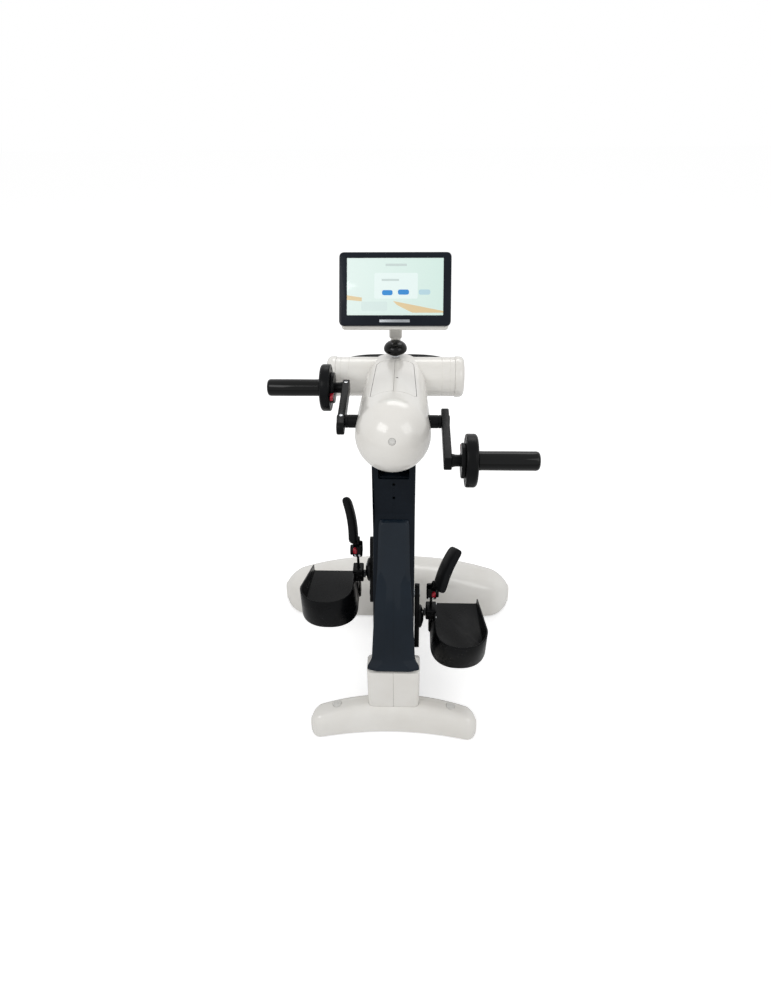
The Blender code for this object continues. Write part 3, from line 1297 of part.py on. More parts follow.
def make_rear_handle():
    """Black grab handle that bows out behind the cross tube."""
    outer = [(-HANDLE_HALF_LENGTH, TUBE_AXIS_Y + 0.030)]
    count = 16
    for i in range(count + 1):
        share = -1 + 2 * i / count
        bow = (1 - share ** 2)
        start = TUBE_AXIS_Y + 0.034
        outer.append((share * HANDLE_HALF_LENGTH, start + (HANDLE_BACK - start) * bow))
    outer.append((HANDLE_HALF_LENGTH, TUBE_AXIS_Y + 0.030))
    handle = prism("handle", [outer], HANDLE_BOTTOM, HANDLE_TOP, "Z")
    shop.cut(handle, cross_tube_bore("seat", TUBE_RADIUS + GAP))
    room = HEAD_NECK_HALF + 0.0045
    relief = HEAD_BACK_RADIUS + 0.0045
    shop.cut(handle, rod("relief", relief, (-room, TUBE_AXIS_Y, TUBE_AXIS_Z),
                         (room, TUBE_AXIS_Y, TUBE_AXIS_Z), 48))
    shop.keep(handle, "rear_handle", "black_pad", "grab_bar")


def make_head_post():
    """Steel post that slides in the column's sleeve, with a solid block that fits between the plates."""
    half = POST_SIZE / 2 - POST_WALL - GAP
    inner = half - SLIDE_WALL
    post = box("post", (-half, POST_Y - half, SLIDE_BOTTOM), (half, POST_Y + half, HEAD_POST_TOP))
    shop.cut(post, box("hollow", (-inner, POST_Y - inner, SLIDE_BOTTOM - 0.01),
                       (inner, POST_Y + inner, HEAD_POST_TOP - 0.010)))
    block = CLAMP_X - CLAMP_THICKNESS - GAP
    shop.join(post, box("block", (-block, POST_Y - half + 0.001, HEAD_POST_TOP - 0.006),
                        (block, POST_Y + half - 0.001, HEAD_BLOCK_TOP)))
    shop.keep(post, "head_post", "bright_steel", "head")


def make_lock_knob():
    """Clamp knob on top of the head; its stem presses on the cross tube."""
    shop.carrier("lock_knob", (0, KNOB_Y, KNOB_BOTTOM), "head")
    drop = TUBE_AXIS_Y - KNOB_Y
    stem = KNOB_BOTTOM - GAP - (TUBE_AXIS_Z + math.sqrt(TUBE_RADIUS ** 2 - drop ** 2))
    rise = 0.034
    profile = [(0, rise), (0.0112, rise - 0.0009), (0.019, rise - 0.0045), (0.024, rise - 0.0107),
               (KNOB_RADIUS, rise - 0.0168), (0.023, rise - 0.0218), (0.0157, rise - 0.0263),
               (0.010, rise - 0.0297), (0.0078, 0.0028), (KNOB_STEM_RADIUS, 0.0012),
               (KNOB_STEM_RADIUS, -stem + 0.0006), (0, -stem + 0.0006)]
    knob = turned("knob", profile, (0, KNOB_Y, KNOB_BOTTOM), (0, 0, 1), 32)
    shop.keep(knob, "lock_knob", "black_plastic", "lock_knob", 50)


def make_arm_shaft():
    shop.carrier("arm_cranks", (0, ARM_AXIS_Y, ARM_AXIS_Z), "head")
    end = ARM_CRANK_INNER + ARM_CRANK_THICKNESS + 0.001
    stop = ARM_CRANK_INNER - GAP
    profile = [(0, end), (ARM_SHAFT_RADIUS, end), (ARM_SHAFT_RADIUS, stop), (ARM_SLEEVE_RADIUS, stop),
               (ARM_SLEEVE_RADIUS, SLEEVE_START), (ARM_SHAFT_RADIUS, SLEEVE_START),
               (ARM_SHAFT_RADIUS, -SLEEVE_START), (ARM_SLEEVE_RADIUS, -SLEEVE_START),
               (ARM_SLEEVE_RADIUS, -stop), (ARM_SHAFT_RADIUS, -stop), (ARM_SHAFT_RADIUS, -end), (0, -end)]
    shaft = turned("shaft", profile, (0, ARM_AXIS_Y, ARM_AXIS_Z), (1, 0, 0), 32)
    shop.keep(shaft, "arm_shaft", "black_plastic", "arm_cranks")


def grip_place(side):
    """Grip axis: the left grip points away from the rider, the right one towards the rider."""
    turn = math.radians(2.7)
    sign = -side
    return (ARM_AXIS_Y + sign * ARM_CRANK_RADIUS * math.cos(turn),
            ARM_AXIS_Z + sign * ARM_CRANK_RADIUS * math.sin(turn))


def make_arm_cranks():
    for side, word in ((-1, "left"), (1, "right")):
        y, z = grip_place(side)
        angle = math.degrees(math.atan2(z - ARM_AXIS_Z, y - ARM_AXIS_Y))
        outline = bar_outline((ARM_AXIS_Y, ARM_AXIS_Z), angle, ARM_CRANK_RADIUS + ARM_CRANK_END,
                              ARM_CRANK_SHORT, ARM_CRANK_HALF, square_end=True)
        outer = ARM_CRANK_INNER + ARM_CRANK_THICKNESS
        crank = prism("crank", [outline], *x_span(side, ARM_CRANK_INNER, outer))
        plate = DISC_INNER - 0.008
        shop.join(crank, rod("collar", SPINDLE_COLLAR_RADIUS, (side * (outer - 0.004), y, z),
                             (side * (plate + 0.002), y, z), 24))
        shop.join(crank, rod("hub_plate", HUB_PLATE_RADIUS, (side * plate, y, z),
                             (side * (DISC_INNER - GAP), y, z), 32))
        shop.join(crank, rod("spindle", SPINDLE_RADIUS, (side * (DISC_INNER - 0.003), y, z),
                             (side * (DISC_OUTER + SPINDLE_REACH), y, z), 24))
        reach = outer + 0.0015
        shop.cut(crank, rod("bore", ARM_SHAFT_RADIUS + GAP, (-reach, ARM_AXIS_Y, ARM_AXIS_Z),
                            (reach, ARM_AXIS_Y, ARM_AXIS_Z), 24))
        shop.cut(crank, tab_box(side, y, z, TAB_START - 0.005, TAB_END + 0.014, TAB_HALF + GAP,
                                plate - 0.003, DISC_INNER + 0.003))
        shop.keep(crank, "arm_crank_" + word, "black_plastic", "arm_cranks")

        tab_body = "release_tab_" + word
        shop.carrier(tab_body, (side * DISC_INNER, y, z), "arm_cranks")
        tab = tab_box(side, y, z, TAB_START, TAB_END, TAB_HALF, plate + 0.0005, DISC_INNER - 0.001)
        shop.keep(tab, tab_body, "red_plastic", tab_body)

        grip_body = "grip_" + word
        shop.carrier(grip_body, (side * DISC_INNER, y, z), "arm_cranks")
        bore = SPINDLE_RADIUS + GAP
        depth = DISC_OUTER - DISC_INNER
        profile = [(bore, depth), (DISC_RADIUS - 0.011, depth), (DISC_RADIUS - 0.004, depth - 0.003),
                   (DISC_RADIUS, depth - 0.009), (DISC_RADIUS, 0.002), (DISC_RADIUS - 0.002, 0), (bore, 0)]
        disc = turned("disc", profile, (side * DISC_INNER, y, z), (side, 0, 0), 40, closed=True)
        shop.keep(disc, "grip_disc_" + word, "black_plastic", grip_body, 40)
        length = GRIP_END - DISC_OUTER
        grip = turned("grip", [(0, length), (GRIP_RADIUS * 0.75, length), (GRIP_RADIUS, length - 0.006),
                               (GRIP_RADIUS, GAP), (bore, GAP), (bore, 0.050), (0, 0.050)],
                      (side * DISC_OUTER, y, z), (side, 0, 0), 32)
        shop.keep(grip, "grip_" + word, "black_plastic", grip_body, 40)


def tab_box(side, y, z, start, end, half, near, far):
    """A block along the line from the grip axis towards the arm axle."""
    toward = Vector((0, ARM_AXIS_Y - y, ARM_AXIS_Z - z)).normalized()
    low, high = x_span(side, near, far)
    block = box("tab", (low, start, -half), (high, end, half), 0.0015, 2, "Y")
    turn = math.atan2(toward.z, toward.y)
    block.data.transform(Matrix.Translation((0, y, z)) @ Matrix.Rotation(turn, 4, "X"))
    return block


def make_display():
    shop.carrier("display_stalk", (0, STALK_Y, STALK_SEAT), "head")
    side = [(STALK_Y - STALK_HALF_DEPTH, STALK_BOTTOM), (STALK_Y + STALK_HALF_DEPTH, STALK_BOTTOM)]
    side += arc((HINGE_Y, HINGE_Z), STALK_HALF_DEPTH, 0, 180, 12)
    pin_hole = arc((HINGE_Y, HINGE_Z), HINGE_PIN_RADIUS + GAP, 0, 342, 19)
    stalk = prism("stalk", [side, pin_hole], -STALK_HALF_WIDTH, STALK_HALF_WIDTH)
    half_w, half_d = STALK_HALF_WIDTH, STALK_HALF_DEPTH
    shop.common(stalk, box("rounding", (-half_w, STALK_Y - half_d, STALK_BOTTOM),
                           (half_w, STALK_Y + half_d, HINGE_Z + half_d + 0.02), 0.004, 3))
    shop.join(stalk, rod("neck", STALK_NECK_RADIUS, (0, STALK_Y, STALK_SEAT + GAP),
                         (0, STALK_Y, STALK_BOTTOM + 0.004), 28))
    shop.join(stalk, rod("spigot", STALK_SPIGOT_RADIUS, (0, STALK_Y, STALK_SEAT - 0.0135),
                         (0, STALK_Y, STALK_SEAT + 0.003), 24))
    shop.keep(stalk, "display_stalk", "white_shell", "display_stalk")

    shop.carrier("display", (0, HINGE_Y, HINGE_Z), "display_stalk")
    place = (Matrix.Translation((0, SCREEN_CENTRE_Y, SCREEN_CENTRE_Z))
             @ Matrix.Rotation(math.radians(-DISPLAY_TILT), 4, "X"))
    hinge = place.inverted() @ Vector((0, HINGE_Y, HINGE_Z))
    half_w, half_h = DISPLAY_WIDTH / 2, DISPLAY_HEIGHT / 2
    bezel = box("bezel", (-half_w, 0, -half_h), (half_w, BEZEL_THICKNESS, half_h), 0.009, 4, "Y")
    low_z = SCREEN_OFFSET - SCREEN_HEIGHT / 2
    high_z = SCREEN_OFFSET + SCREEN_HEIGHT / 2
    half_s = SCREEN_WIDTH / 2
    shop.cut(bezel, box("pocket", (-half_s - GAP, -0.01, low_z - GAP),
                        (half_s + GAP, GLASS_THICKNESS + 0.0005 + GAP, high_z + GAP)))
    moved_keep(bezel, place, "display_bezel", "bezel_dark", "display")
    glass = box("glass", (-half_s, 0.0005, low_z), (half_s, GLASS_THICKNESS + 0.0005, high_z))
    moved_keep(glass, place, "screen_glass", "screen_glass", "display")
    inset = 0.004
    back_end = BEZEL_THICKNESS + BACK_THICKNESS
    back = box("back", (-half_w + inset, BEZEL_THICKNESS + GAP, -half_h + inset),
               (half_w - inset, back_end, half_h - inset), 0.007, 3, "Y")
    ear_in = STALK_HALF_WIDTH + GAP
    for side in (-1, 1):
        low, high = x_span(side, ear_in, ear_in + 0.006)
        shop.join(back, box("ear", (low, back_end - 0.004, hinge.z - 0.009),
                            (high, hinge.y + 0.008, hinge.z + 0.009), 0.004, 2, "X"))
    shop.join(back, rod("pin", HINGE_PIN_RADIUS, (-ear_in - 0.003, hinge.y, hinge.z),
                        (ear_in + 0.003, hinge.y, hinge.z), 16))
    moved_keep(back, place, "display_back", "white_shell", "display")


def main():
    global shop
    remove_everything()
    shop = Workshop()
    shop.carrier("root", (0, 0, 0))
    make_base_frame()
    make_pads()
    make_front_foot()
    make_rear_foot()
    make_foot_plugs()
    make_transport_wheels()
    make_collar()
    make_column_frame()
    make_column_housing()
    make_front_cover()
    make_leg_drive()
    make_leg_cranks()
    make_pedal(-1, "left", 0.0, CALF_LEAN_LEFT)
    make_pedal(1, "right", RIGHT_PEDAL_TOE_UP, CALF_LEAN_RIGHT)
    shop.carrier("head", (0, POST_Y, SLIDE_BOTTOM), "root")
    make_head_post()
    make_cross_tube()
    make_rear_handle()
    make_head_shell()
    make_arm_drive()
    make_power_button()
    make_lock_knob()
    make_arm_shaft()
    make_arm_cranks()
    make_display()


main()
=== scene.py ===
import bpy
from math import asin, atan2, copysign, cos, pi, radians, sin, sqrt, tan
from mathutils import Matrix, Vector


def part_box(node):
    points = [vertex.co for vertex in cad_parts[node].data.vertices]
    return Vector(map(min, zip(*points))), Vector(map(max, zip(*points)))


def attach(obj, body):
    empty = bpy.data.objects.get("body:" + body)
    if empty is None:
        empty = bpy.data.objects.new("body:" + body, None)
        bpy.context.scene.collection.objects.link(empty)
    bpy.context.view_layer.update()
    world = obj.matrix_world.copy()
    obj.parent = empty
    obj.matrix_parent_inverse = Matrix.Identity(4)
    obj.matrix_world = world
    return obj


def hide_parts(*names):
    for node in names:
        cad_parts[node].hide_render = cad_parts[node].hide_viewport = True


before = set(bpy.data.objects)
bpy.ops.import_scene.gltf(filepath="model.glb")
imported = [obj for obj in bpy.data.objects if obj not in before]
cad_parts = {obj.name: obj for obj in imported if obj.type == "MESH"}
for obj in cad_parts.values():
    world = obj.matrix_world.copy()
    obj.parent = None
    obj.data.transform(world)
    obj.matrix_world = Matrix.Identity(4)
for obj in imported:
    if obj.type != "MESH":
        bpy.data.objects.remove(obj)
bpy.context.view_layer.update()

# sign, end of a piece's name, end of a node's or body's name
bothSides = ((-1, "Left", "_left"), (1, "Right", "_right"))
fitGap = 0.0003  # metres of air between neighbouring solids
halfSeam = 0.00015
mergeDistance = 0.00001


def hexToLinear(code):
    channels = [int(code[i:i + 2], 16) / 255 for i in (1, 3, 5)]
    linear = [c / 12.92 if c <= 0.04045 else ((c + 0.055) / 1.055) ** 2.4 for c in channels]
    return (*linear, 1.0)


def addNode(tree, kind, settings=None, links=None):
    node = tree.nodes.new(kind)
    for key, value in (settings or {}).items():
        if isinstance(key, int) or key in node.inputs:
            node.inputs[key].default_value = value
        else:
            setattr(node, key, value)
    for socket, source in (links or {}).items():
        tree.links.new(source, node.inputs[socket])
    return node


def pick(*pieces):
    bpy.ops.object.select_all(action="DESELECT")
    for piece in pieces:
        piece.select_set(True)
    bpy.context.view_layer.objects.active = pieces[0]


def applyModifiers(piece):
    pick(piece)
    for modifier in list(piece.modifiers):
        bpy.ops.object.modifier_apply(modifier=modifier.name)


def editAll():
    bpy.ops.object.mode_set(mode="EDIT")
    bpy.ops.mesh.select_all(action="SELECT")


def closeSkin():
    # doubles merged, open ends filled, all faces turned outwards
    editAll()
    bpy.ops.mesh.remove_doubles(threshold=mergeDistance)
    bpy.ops.mesh.fill_holes(sides=0)
    bpy.ops.mesh.select_all(action="SELECT")
    bpy.ops.mesh.normals_make_consistent(inside=False)
    bpy.ops.object.mode_set(mode="OBJECT")


def wrapSheet(rings):
    # a grid whose rows are laid on the sections of the shape, then merged into one skin
    count = len(rings[0])
    bpy.ops.object.select_all(action="DESELECT")
    bpy.ops.mesh.primitive_grid_add(x_subdivisions=count, y_subdivisions=len(rings) - 1, size=1,
        location=(0, 0, 0))
    piece = bpy.context.object
    points = piece.data.vertices
    for row, ring in enumerate(rings):
        for column in range(count + 1):
            points[row * (count + 1) + column].co = ring[column % count]
    closeSkin()
    return piece


def alongAxis(axis, points, depth):
    # outline points are (y, z) for X, (x, z) for Y and (x, y) for Z
    if axis == "X":
        return [Vector((depth, u, v)) for u, v in points]
    if axis == "Y":
        return [Vector((u, depth, v)) for u, v in points]
    return [Vector((u, v, depth)) for u, v in points]


def slab(outline, low, high, axis="X", edge=0.0, segments=3, angle=30):
    # the outline filled as one face and extruded to its thickness
    bpy.ops.object.select_all(action="DESELECT")
    bpy.ops.mesh.primitive_circle_add(vertices=len(outline), radius=1, fill_type="NGON", location=(0, 0, 0))
    piece = bpy.context.object
    for corner, spot in zip(piece.data.vertices, alongAxis(axis, outline, low)):
        corner.co = spot
    push = alongAxis(axis, [(0, 0)], high - low)[0]
    editAll()
    bpy.ops.mesh.remove_doubles(threshold=mergeDistance)
    bpy.ops.mesh.extrude_region_move(TRANSFORM_OT_translate={"value": push})
    bpy.ops.mesh.select_all(action="SELECT")
    bpy.ops.mesh.normals_make_consistent(inside=False)
    bpy.ops.object.mode_set(mode="OBJECT")
    if edge:
        roundEdges(piece, edge, segments, angle)
    return piece


def roundEdges(piece, width, segments=3, angle=30):
    bevel = piece.modifiers.new("rounding", "BEVEL")
    bevel.width = width
    bevel.segments = segments
    bevel.limit_method = "ANGLE"
    bevel.angle_limit = radians(angle)
    bevel.harden_normals = False
    applyModifiers(piece)


def block(low, high, edge=0.001, segments=3):
    low, high = Vector(low), Vector(high)
    bpy.ops.object.select_all(action="DESELECT")
    bpy.ops.mesh.primitive_cube_add(size=1, location=(low + high) / 2)
    piece = bpy.context.object
    piece.scale = high - low
    bpy.ops.object.transform_apply(location=True, rotation=True, scale=True)
    editAll()
    if edge:
        bpy.ops.mesh.bevel(offset=edge, segments=segments, affect="EDGES")
    bpy.ops.object.mode_set(mode="OBJECT")
    return piece


def facing(centre, direction):
    turn = Vector(direction).to_track_quat("Z", "Y").to_matrix().to_4x4()
    return Matrix.Translation(Vector(centre)) @ turn


def turnOnLathe(profile, centre, direction=(0, 0, 1), steps=64, closed=False):
    # profile is (radius, height) from top to bottom, extruded as a line and spun round the axis
    place = facing(centre, direction)
    spots = [place @ Vector((radius, 0, height)) for radius, height in profile]
    if closed:
        spots.append(spots[0])
    bpy.ops.object.select_all(action="DESELECT")
    bpy.ops.mesh.primitive_plane_add(size=0.0001, location=spots[0])
    bpy.ops.object.transform_apply(location=True, rotation=True, scale=True)
    editAll()
    bpy.ops.mesh.merge(type="CENTER")
    for first, second in zip(spots, spots[1:]):
        bpy.ops.mesh.extrude_vertices_move(TRANSFORM_OT_translate={"value": second - first})
    bpy.ops.mesh.select_all(action="SELECT")
    bpy.ops.mesh.spin(steps=steps, angle=2 * pi, center=Vector(centre), axis=Vector(direction).normalized())
    closeSkin()
    return bpy.context.object


def rod(radius, start, end, edge=0.0, steps=48):
    start, end = Vector(start), Vector(end)
    bpy.ops.object.select_all(action="DESELECT")
    bpy.ops.mesh.primitive_cylinder_add(vertices=steps, radius=radius, depth=(end - start).length,
        location=(start + end) / 2, rotation=(end - start).to_track_quat("Z", "Y").to_euler())
    piece = bpy.context.object
    bpy.ops.object.transform_apply(location=True, rotation=True, scale=True)
    if edge:
        roundEdges(piece, edge, 3, 60)
    return piece


def crossRod(radius, reach, y, z, steps=48):
    # a pin or cutter across the object, along X
    return rod(radius, (-reach, y, z), (reach, y, z), 0, steps)


def span(side, near, far):
    # x limits on the left (-1) or the right (1)
    return sorted((side * near, side * far))


def carve(piece, *tools, how="DIFFERENCE"):
    for tool in tools:
        modifier = piece.modifiers.new("carve", "BOOLEAN")
        modifier.operation = how
        modifier.solver = "EXACT"
        modifier.object = tool
        applyModifiers(piece)
        bpy.data.objects.remove(tool, do_unlink=True)
    return piece


def weld(*pieces):
    pick(*pieces)
    bpy.ops.object.join()
    return bpy.context.object


def copyOf(piece):
    pick(piece)
    bpy.ops.object.duplicate()
    return bpy.context.object


def turnPiece(piece, matrix):
    piece.data.transform(matrix)
    piece.data.update()
    return piece


def turnAbout(spot, angle, axis):
    return Matrix.Translation(spot) @ Matrix.Rotation(angle, 4, axis) @ Matrix.Translation(-Vector(spot))


def finishPiece(piece, name, material, body, node=None, smooth=35):
    piece.name = name
    piece.data.name = name
    piece.data.materials.clear()
    piece.data.materials.append(material)
    pick(piece)
    bpy.ops.object.shade_smooth_by_angle(angle=radians(smooth))
    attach(piece, body)
    if node:
        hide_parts(node)
    return piece


def arc(centre, radius, start, end, count):
    points = []
    for i in range(count + 1):
        angle = radians(start + (end - start) * i / count)
        points.append((centre[0] + radius * cos(angle), centre[1] + radius * sin(angle)))
    return points


def roundCorners(points, radius, count=5):
    # radius may be one number or one for each corner
    result = []
    for i, point in enumerate(points):
        size = radius[i] if isinstance(radius, (list, tuple)) else radius
        corner = Vector(point)
        into = Vector(points[i - 1]) - corner
        out = Vector(points[(i + 1) % len(points)]) - corner
        if size <= 0 or min(into.length, out.length) < 1e-6:
            result.append((corner.x, corner.y))
            continue
        half = into.angle(out) / 2
        reach = min(size / tan(half), 0.48 * into.length, 0.48 * out.length)
        start = corner + into.normalized() * reach
        end = corner + out.normalized() * reach
        for k in range(count + 1):
            t = k / count
            spot = start.lerp(corner, t).lerp(corner.lerp(end, t), t)
            result.append((spot.x, spot.y))
    return result


def rectangle(u0, w0, u1, w1):
    return [(u0, w0), (u1, w0), (u1, w1), (u0, w1)]


def smoothStep(share):
    share = max(0.0, min(1.0, share))
    return share * share * (3 - 2 * share)


def power(value, exponent):
    return copysign(abs(value) ** exponent, value)


def newMaterial(name, *noises, squeeze=None):
    # each noise is (cells per metre, detail, roughness); squeeze draws them out along tool marks
    material = bpy.data.materials.new(name)
    material.use_nodes = True
    tree = material.node_tree
    place = addNode(tree, "ShaderNodeTexCoord").outputs["Object"]
    if squeeze:
        place = addNode(tree, "ShaderNodeMapping", {"Scale": squeeze}, {"Vector": place}).outputs["Vector"]
    patterns = []
    for perMetre, detail, rough in noises:
        node = addNode(tree, "ShaderNodeTexNoise", {"Scale": perMetre, "Detail": detail,
            "Roughness": rough}, {"Vector": place})
        patterns.append(node.outputs["Fac"])
    return (material, tree, tree.nodes["Principled BSDF"], place, *patterns)


def dressSurface(tree, shader, tint, shine, relief):
    # tint: pattern, its low and high, two colours; shine: the same with two roughnesses;
    # relief: pattern, strength, depth in metres
    if tint:
        pattern, low, high, first, second = tint
        share = addNode(tree, "ShaderNodeMapRange", {"From Min": low, "From Max": high}, {"Value": pattern})
        colour = addNode(tree, "ShaderNodeMix", {"data_type": "RGBA", 6: hexToLinear(first),
            7: hexToLinear(second)}, {0: share.outputs["Result"]})
        tree.links.new(colour.outputs[2], shader.inputs["Base Color"])
    pattern, low, high, smooth, rough = shine
    gloss = addNode(tree, "ShaderNodeMapRange", {"From Min": low, "From Max": high, "To Min": smooth,
        "To Max": rough}, {"Value": pattern})
    tree.links.new(gloss.outputs["Result"], shader.inputs["Roughness"])
    pattern, strength, depth = relief
    bump = addNode(tree, "ShaderNodeBump", {"Strength": strength, "Distance": depth}, {"Height": pattern})
    tree.links.new(bump.outputs["Normal"], shader.inputs["Normal"])


def mouldedPlastic(name, main, second, rough, roughSpan, grainPerMetre, grainDepth, coat=0.0, specular=0.5,
        patchPerMetre=9.0):
    # injection moulding: almost even colour, a fine tool texture and faint patches where hands have wiped it
    material, tree, shader, _, patches, wiped, grain = newMaterial(name, (patchPerMetre, 4.0, 0.5),
        (38.0, 5.0, 0.6), (grainPerMetre, 2.0, 0.5))
    dressSurface(tree, shader, (patches, 0.35, 0.65, main, second),
        (wiped, 0.3, 0.7, rough - roughSpan, rough + roughSpan), (grain, 0.35, grainDepth))
    shader.inputs["IOR"].default_value = 1.5
    shader.inputs["Specular IOR Level"].default_value = specular
    if coat:
        shader.inputs["Coat Weight"].default_value = coat
        shader.inputs["Coat Roughness"].default_value = 0.04
    return material


def glossyWhiteAbs():
    # polished tool, so a broad soft shine with slight waviness at 12 mm
    return mouldedPlastic("glossyWhiteAbs", "#F0EEE9", "#E9E6E0", 0.20, 0.04, 85.0, 0.00012, coat=0.35)


def satinNavyAbs():
    # eroded tool texture of 0.8 mm, drawn at 1.2 mm so that it shows
    return mouldedPlastic("satinNavyAbs", "#0B1118", "#10171F", 0.36, 0.06, 800.0, 0.00006, specular=0.1)


def lacqueredNavyAbs():
    # clear lacquer over dark blue grey: sharp reflections over a slightly lighter colour
    return mouldedPlastic("lacqueredNavyAbs", "#131C25", "#18222C", 0.18, 0.03, 60.0, 0.00008, coat=0.2,
        specular=0.1)


def glassFilledNylon():
    # black PA6-GF: semi-gloss with faint flow marks
    return mouldedPlastic("glassFilledNylon", "#08090A", "#0D0E10", 0.30, 0.07, 600.0, 0.00005,
        specular=0.1, patchPerMetre=30.0)


def polishedBlackAbs():
    # grips and knob: polished, deep black
    return mouldedPlastic("polishedBlackAbs", "#050606", "#090A0B", 0.10, 0.03, 60.0, 0.00004, coat=0.1,
        specular=0.15)


def redAcetal():
    # moulded and unpainted: an even, low shine
    return mouldedPlastic("redAcetal", "#B3102A", "#A30D24", 0.28, 0.05, 400.0, 0.00004, patchPerMetre=60.0)


def greyPolypropylene():
    # moulded: waxy and half matt
    return mouldedPlastic("greyPolypropylene", "#DEDDD9", "#D6D5D1", 0.42, 0.05, 500.0, 0.00005)


def satinBezelAbs():
    # painted dark under a thin lacquer: a soft shine over a fine texture
    return mouldedPlastic("satinBezelAbs", "#10151E", "#151B24", 0.26, 0.04, 700.0, 0.00004, coat=0.05,
        specular=0.1)


def skinnedPolyurethane():
    # self-skinning foam: matt, with a leathery pebble of 1.5 mm
    material, tree, shader, place, patches = newMaterial("skinnedPolyurethane", (45.0, 4.0, 0.5))
    cells = addNode(tree, "ShaderNodeTexVoronoi", {"Scale": 650.0, "feature": "SMOOTH_F1"},
        {"Vector": place})
    dressSurface(tree, shader, (patches, 0.0, 1.0, "#0A0B0C", "#131416"), (patches, 0.3, 0.7, 0.55, 0.72),
        (cells.outputs["Distance"], 0.5, 0.00015))
    shader.inputs["Specular IOR Level"].default_value = 0.1
    return material


def mouldedRubber():
    # dull black with a dusty bloom
    material, tree, shader, _, bloom, grain = newMaterial("mouldedRubber", (60.0, 6.0, 0.65),
        (900.0, 2.0, 0.5))
    dressSurface(tree, shader, (bloom, 0.35, 0.75, "#131313", "#232322"), (bloom, 0.3, 0.7, 0.7, 0.9),
        (grain, 0.4, 0.0001))
    return material


def ribbedBelt():
    # neoprene belt: ribs across its width, drawn 4.6 mm apart
    material, tree, shader, place = newMaterial("ribbedBelt")
    wave = addNode(tree, "ShaderNodeTexWave", {"Scale": 69.0, "bands_direction": "X"}, {"Vector": place})
    ribs = wave.outputs["Fac"]
    shader.inputs["Base Color"].default_value = hexToLinear("#191A1B")
    dressSurface(tree, shader, None, (ribs, 0.0, 1.0, 0.6, 0.85), (ribs, 0.6, 0.0006))
    return material


def powderCoatedSteel():
    # orange peel of about 1.5 mm
    material, tree, shader, _, peel, patches = newMaterial("powderCoatedSteel", (650.0, 2.0, 0.5),
        (20.0, 4.0, 0.5))
    dressSurface(tree, shader, (patches, 0.0, 1.0, "#26292D", "#303338"), (patches, 0.3, 0.7, 0.38, 0.5),
        (peel, 0.5, 0.0001))
    return material


def metalFinish(name, main, second, rough, roughSpan, stretch, perMetre, depth):
    material, tree, shader, _, marks = newMaterial(name, (perMetre, 6.0, 0.6), squeeze=stretch)
    dressSurface(tree, shader, (marks, 0.3, 0.7, main, second), (marks, 0.3, 0.7, rough - roughSpan,
        rough + roughSpan), (marks, 0.3, depth))
    shader.inputs["Metallic"].default_value = 1.0
    return material


def turnedSteel():
    # turned and ground: the shine is drawn out along the tool marks
    return metalFinish("turnedSteel", "#B8BBBF", "#A9ADB2", 0.24, 0.07, (6.0, 1.0, 1.0), 180.0, 0.00004)


def chromedSteel():
    # plated: almost a mirror, with faint waves
    return metalFinish("chromedSteel", "#D6D8DA", "#C8CBCE", 0.12, 0.04, (1.0, 1.0, 1.0), 220.0, 0.00002)


def castAluminium():
    # sand-cast skin, drawn at 2 mm so that it shows
    return metalFinish("castAluminium", "#9A9DA1", "#84888C", 0.42, 0.08, (1.0, 1.0, 1.0), 500.0, 0.0002)


def litScreen(name, main, second, glow):
    # a backlit panel behind glass: gives off its own pale light and still shows a clean shine
    material, tree, shader, place = newMaterial(name)
    across = addNode(tree, "ShaderNodeSeparateXYZ", {}, {"Vector": place}).outputs["X"]
    fade = addNode(tree, "ShaderNodeMapRange", {"From Min": -0.1, "From Max": 0.1}, {"Value": across})
    mixed = addNode(tree, "ShaderNodeMix", {"data_type": "RGBA", 6: hexToLinear(main),
        7: hexToLinear(second)}, {0: fade.outputs["Result"]})
    colour = mixed.outputs[2]
    tree.links.new(colour, shader.inputs["Base Color"])
    tree.links.new(colour, shader.inputs["Emission Color"])
    shader.inputs["Emission Strength"].default_value = glow
    shader.inputs["Roughness"].default_value = 0.08
    return material


print("materials")
whiteAbs = glossyWhiteAbs()
navyAbs = satinNavyAbs()
navyLacquer = lacqueredNavyAbs()
blackNylon = glassFilledNylon()
blackAbs = polishedBlackAbs()
red = redAcetal()
greyPlug = greyPolypropylene()
bezelAbs = satinBezelAbs()
foamSkin = skinnedPolyurethane()
rubber = mouldedRubber()
beltRubber = ribbedBelt()
frameCoat = powderCoatedSteel()
brightSteel = turnedSteel()
chrome = chromedSteel()
castAlloy = castAluminium()

# angles in radians, lens in millimetres
cameraSettings = {
    "place": (0.03102, -1.25837, 1.49152), "turnLeft": 0.04147, "lookDown": 0.652, "roll": -0.01597,
    "lens": 24.713,
}


def setUpCamera(values):
    bpy.ops.object.camera_add(location=values["place"])
    camera = bpy.context.object
    yaw, pitch, roll = values["turnLeft"], values["lookDown"], values["roll"]
    forward = Vector((-sin(yaw) * cos(pitch), cos(yaw) * cos(pitch), -sin(pitch)))
    flat = Vector((cos(yaw), sin(yaw), 0))
    upright = flat.cross(forward)
    right = flat * cos(roll) + upright * sin(roll)
    up = upright * cos(roll) - flat * sin(roll)
    turn = Matrix((right, up, -forward)).transposed().to_4x4()
    camera.matrix_world = Matrix.Translation(values["place"]) @ turn
    camera.data.lens = values["lens"]
    camera.data.sensor_width = 36.0
    camera.data.dof.use_dof = False
    camera.data.clip_start = 0.02
    bpy.context.scene.camera = camera


lightSettings = {"worldStrength": 0.58, "keyPower": 17.5, "fillPower": 9.0, "backPower": 10.0}


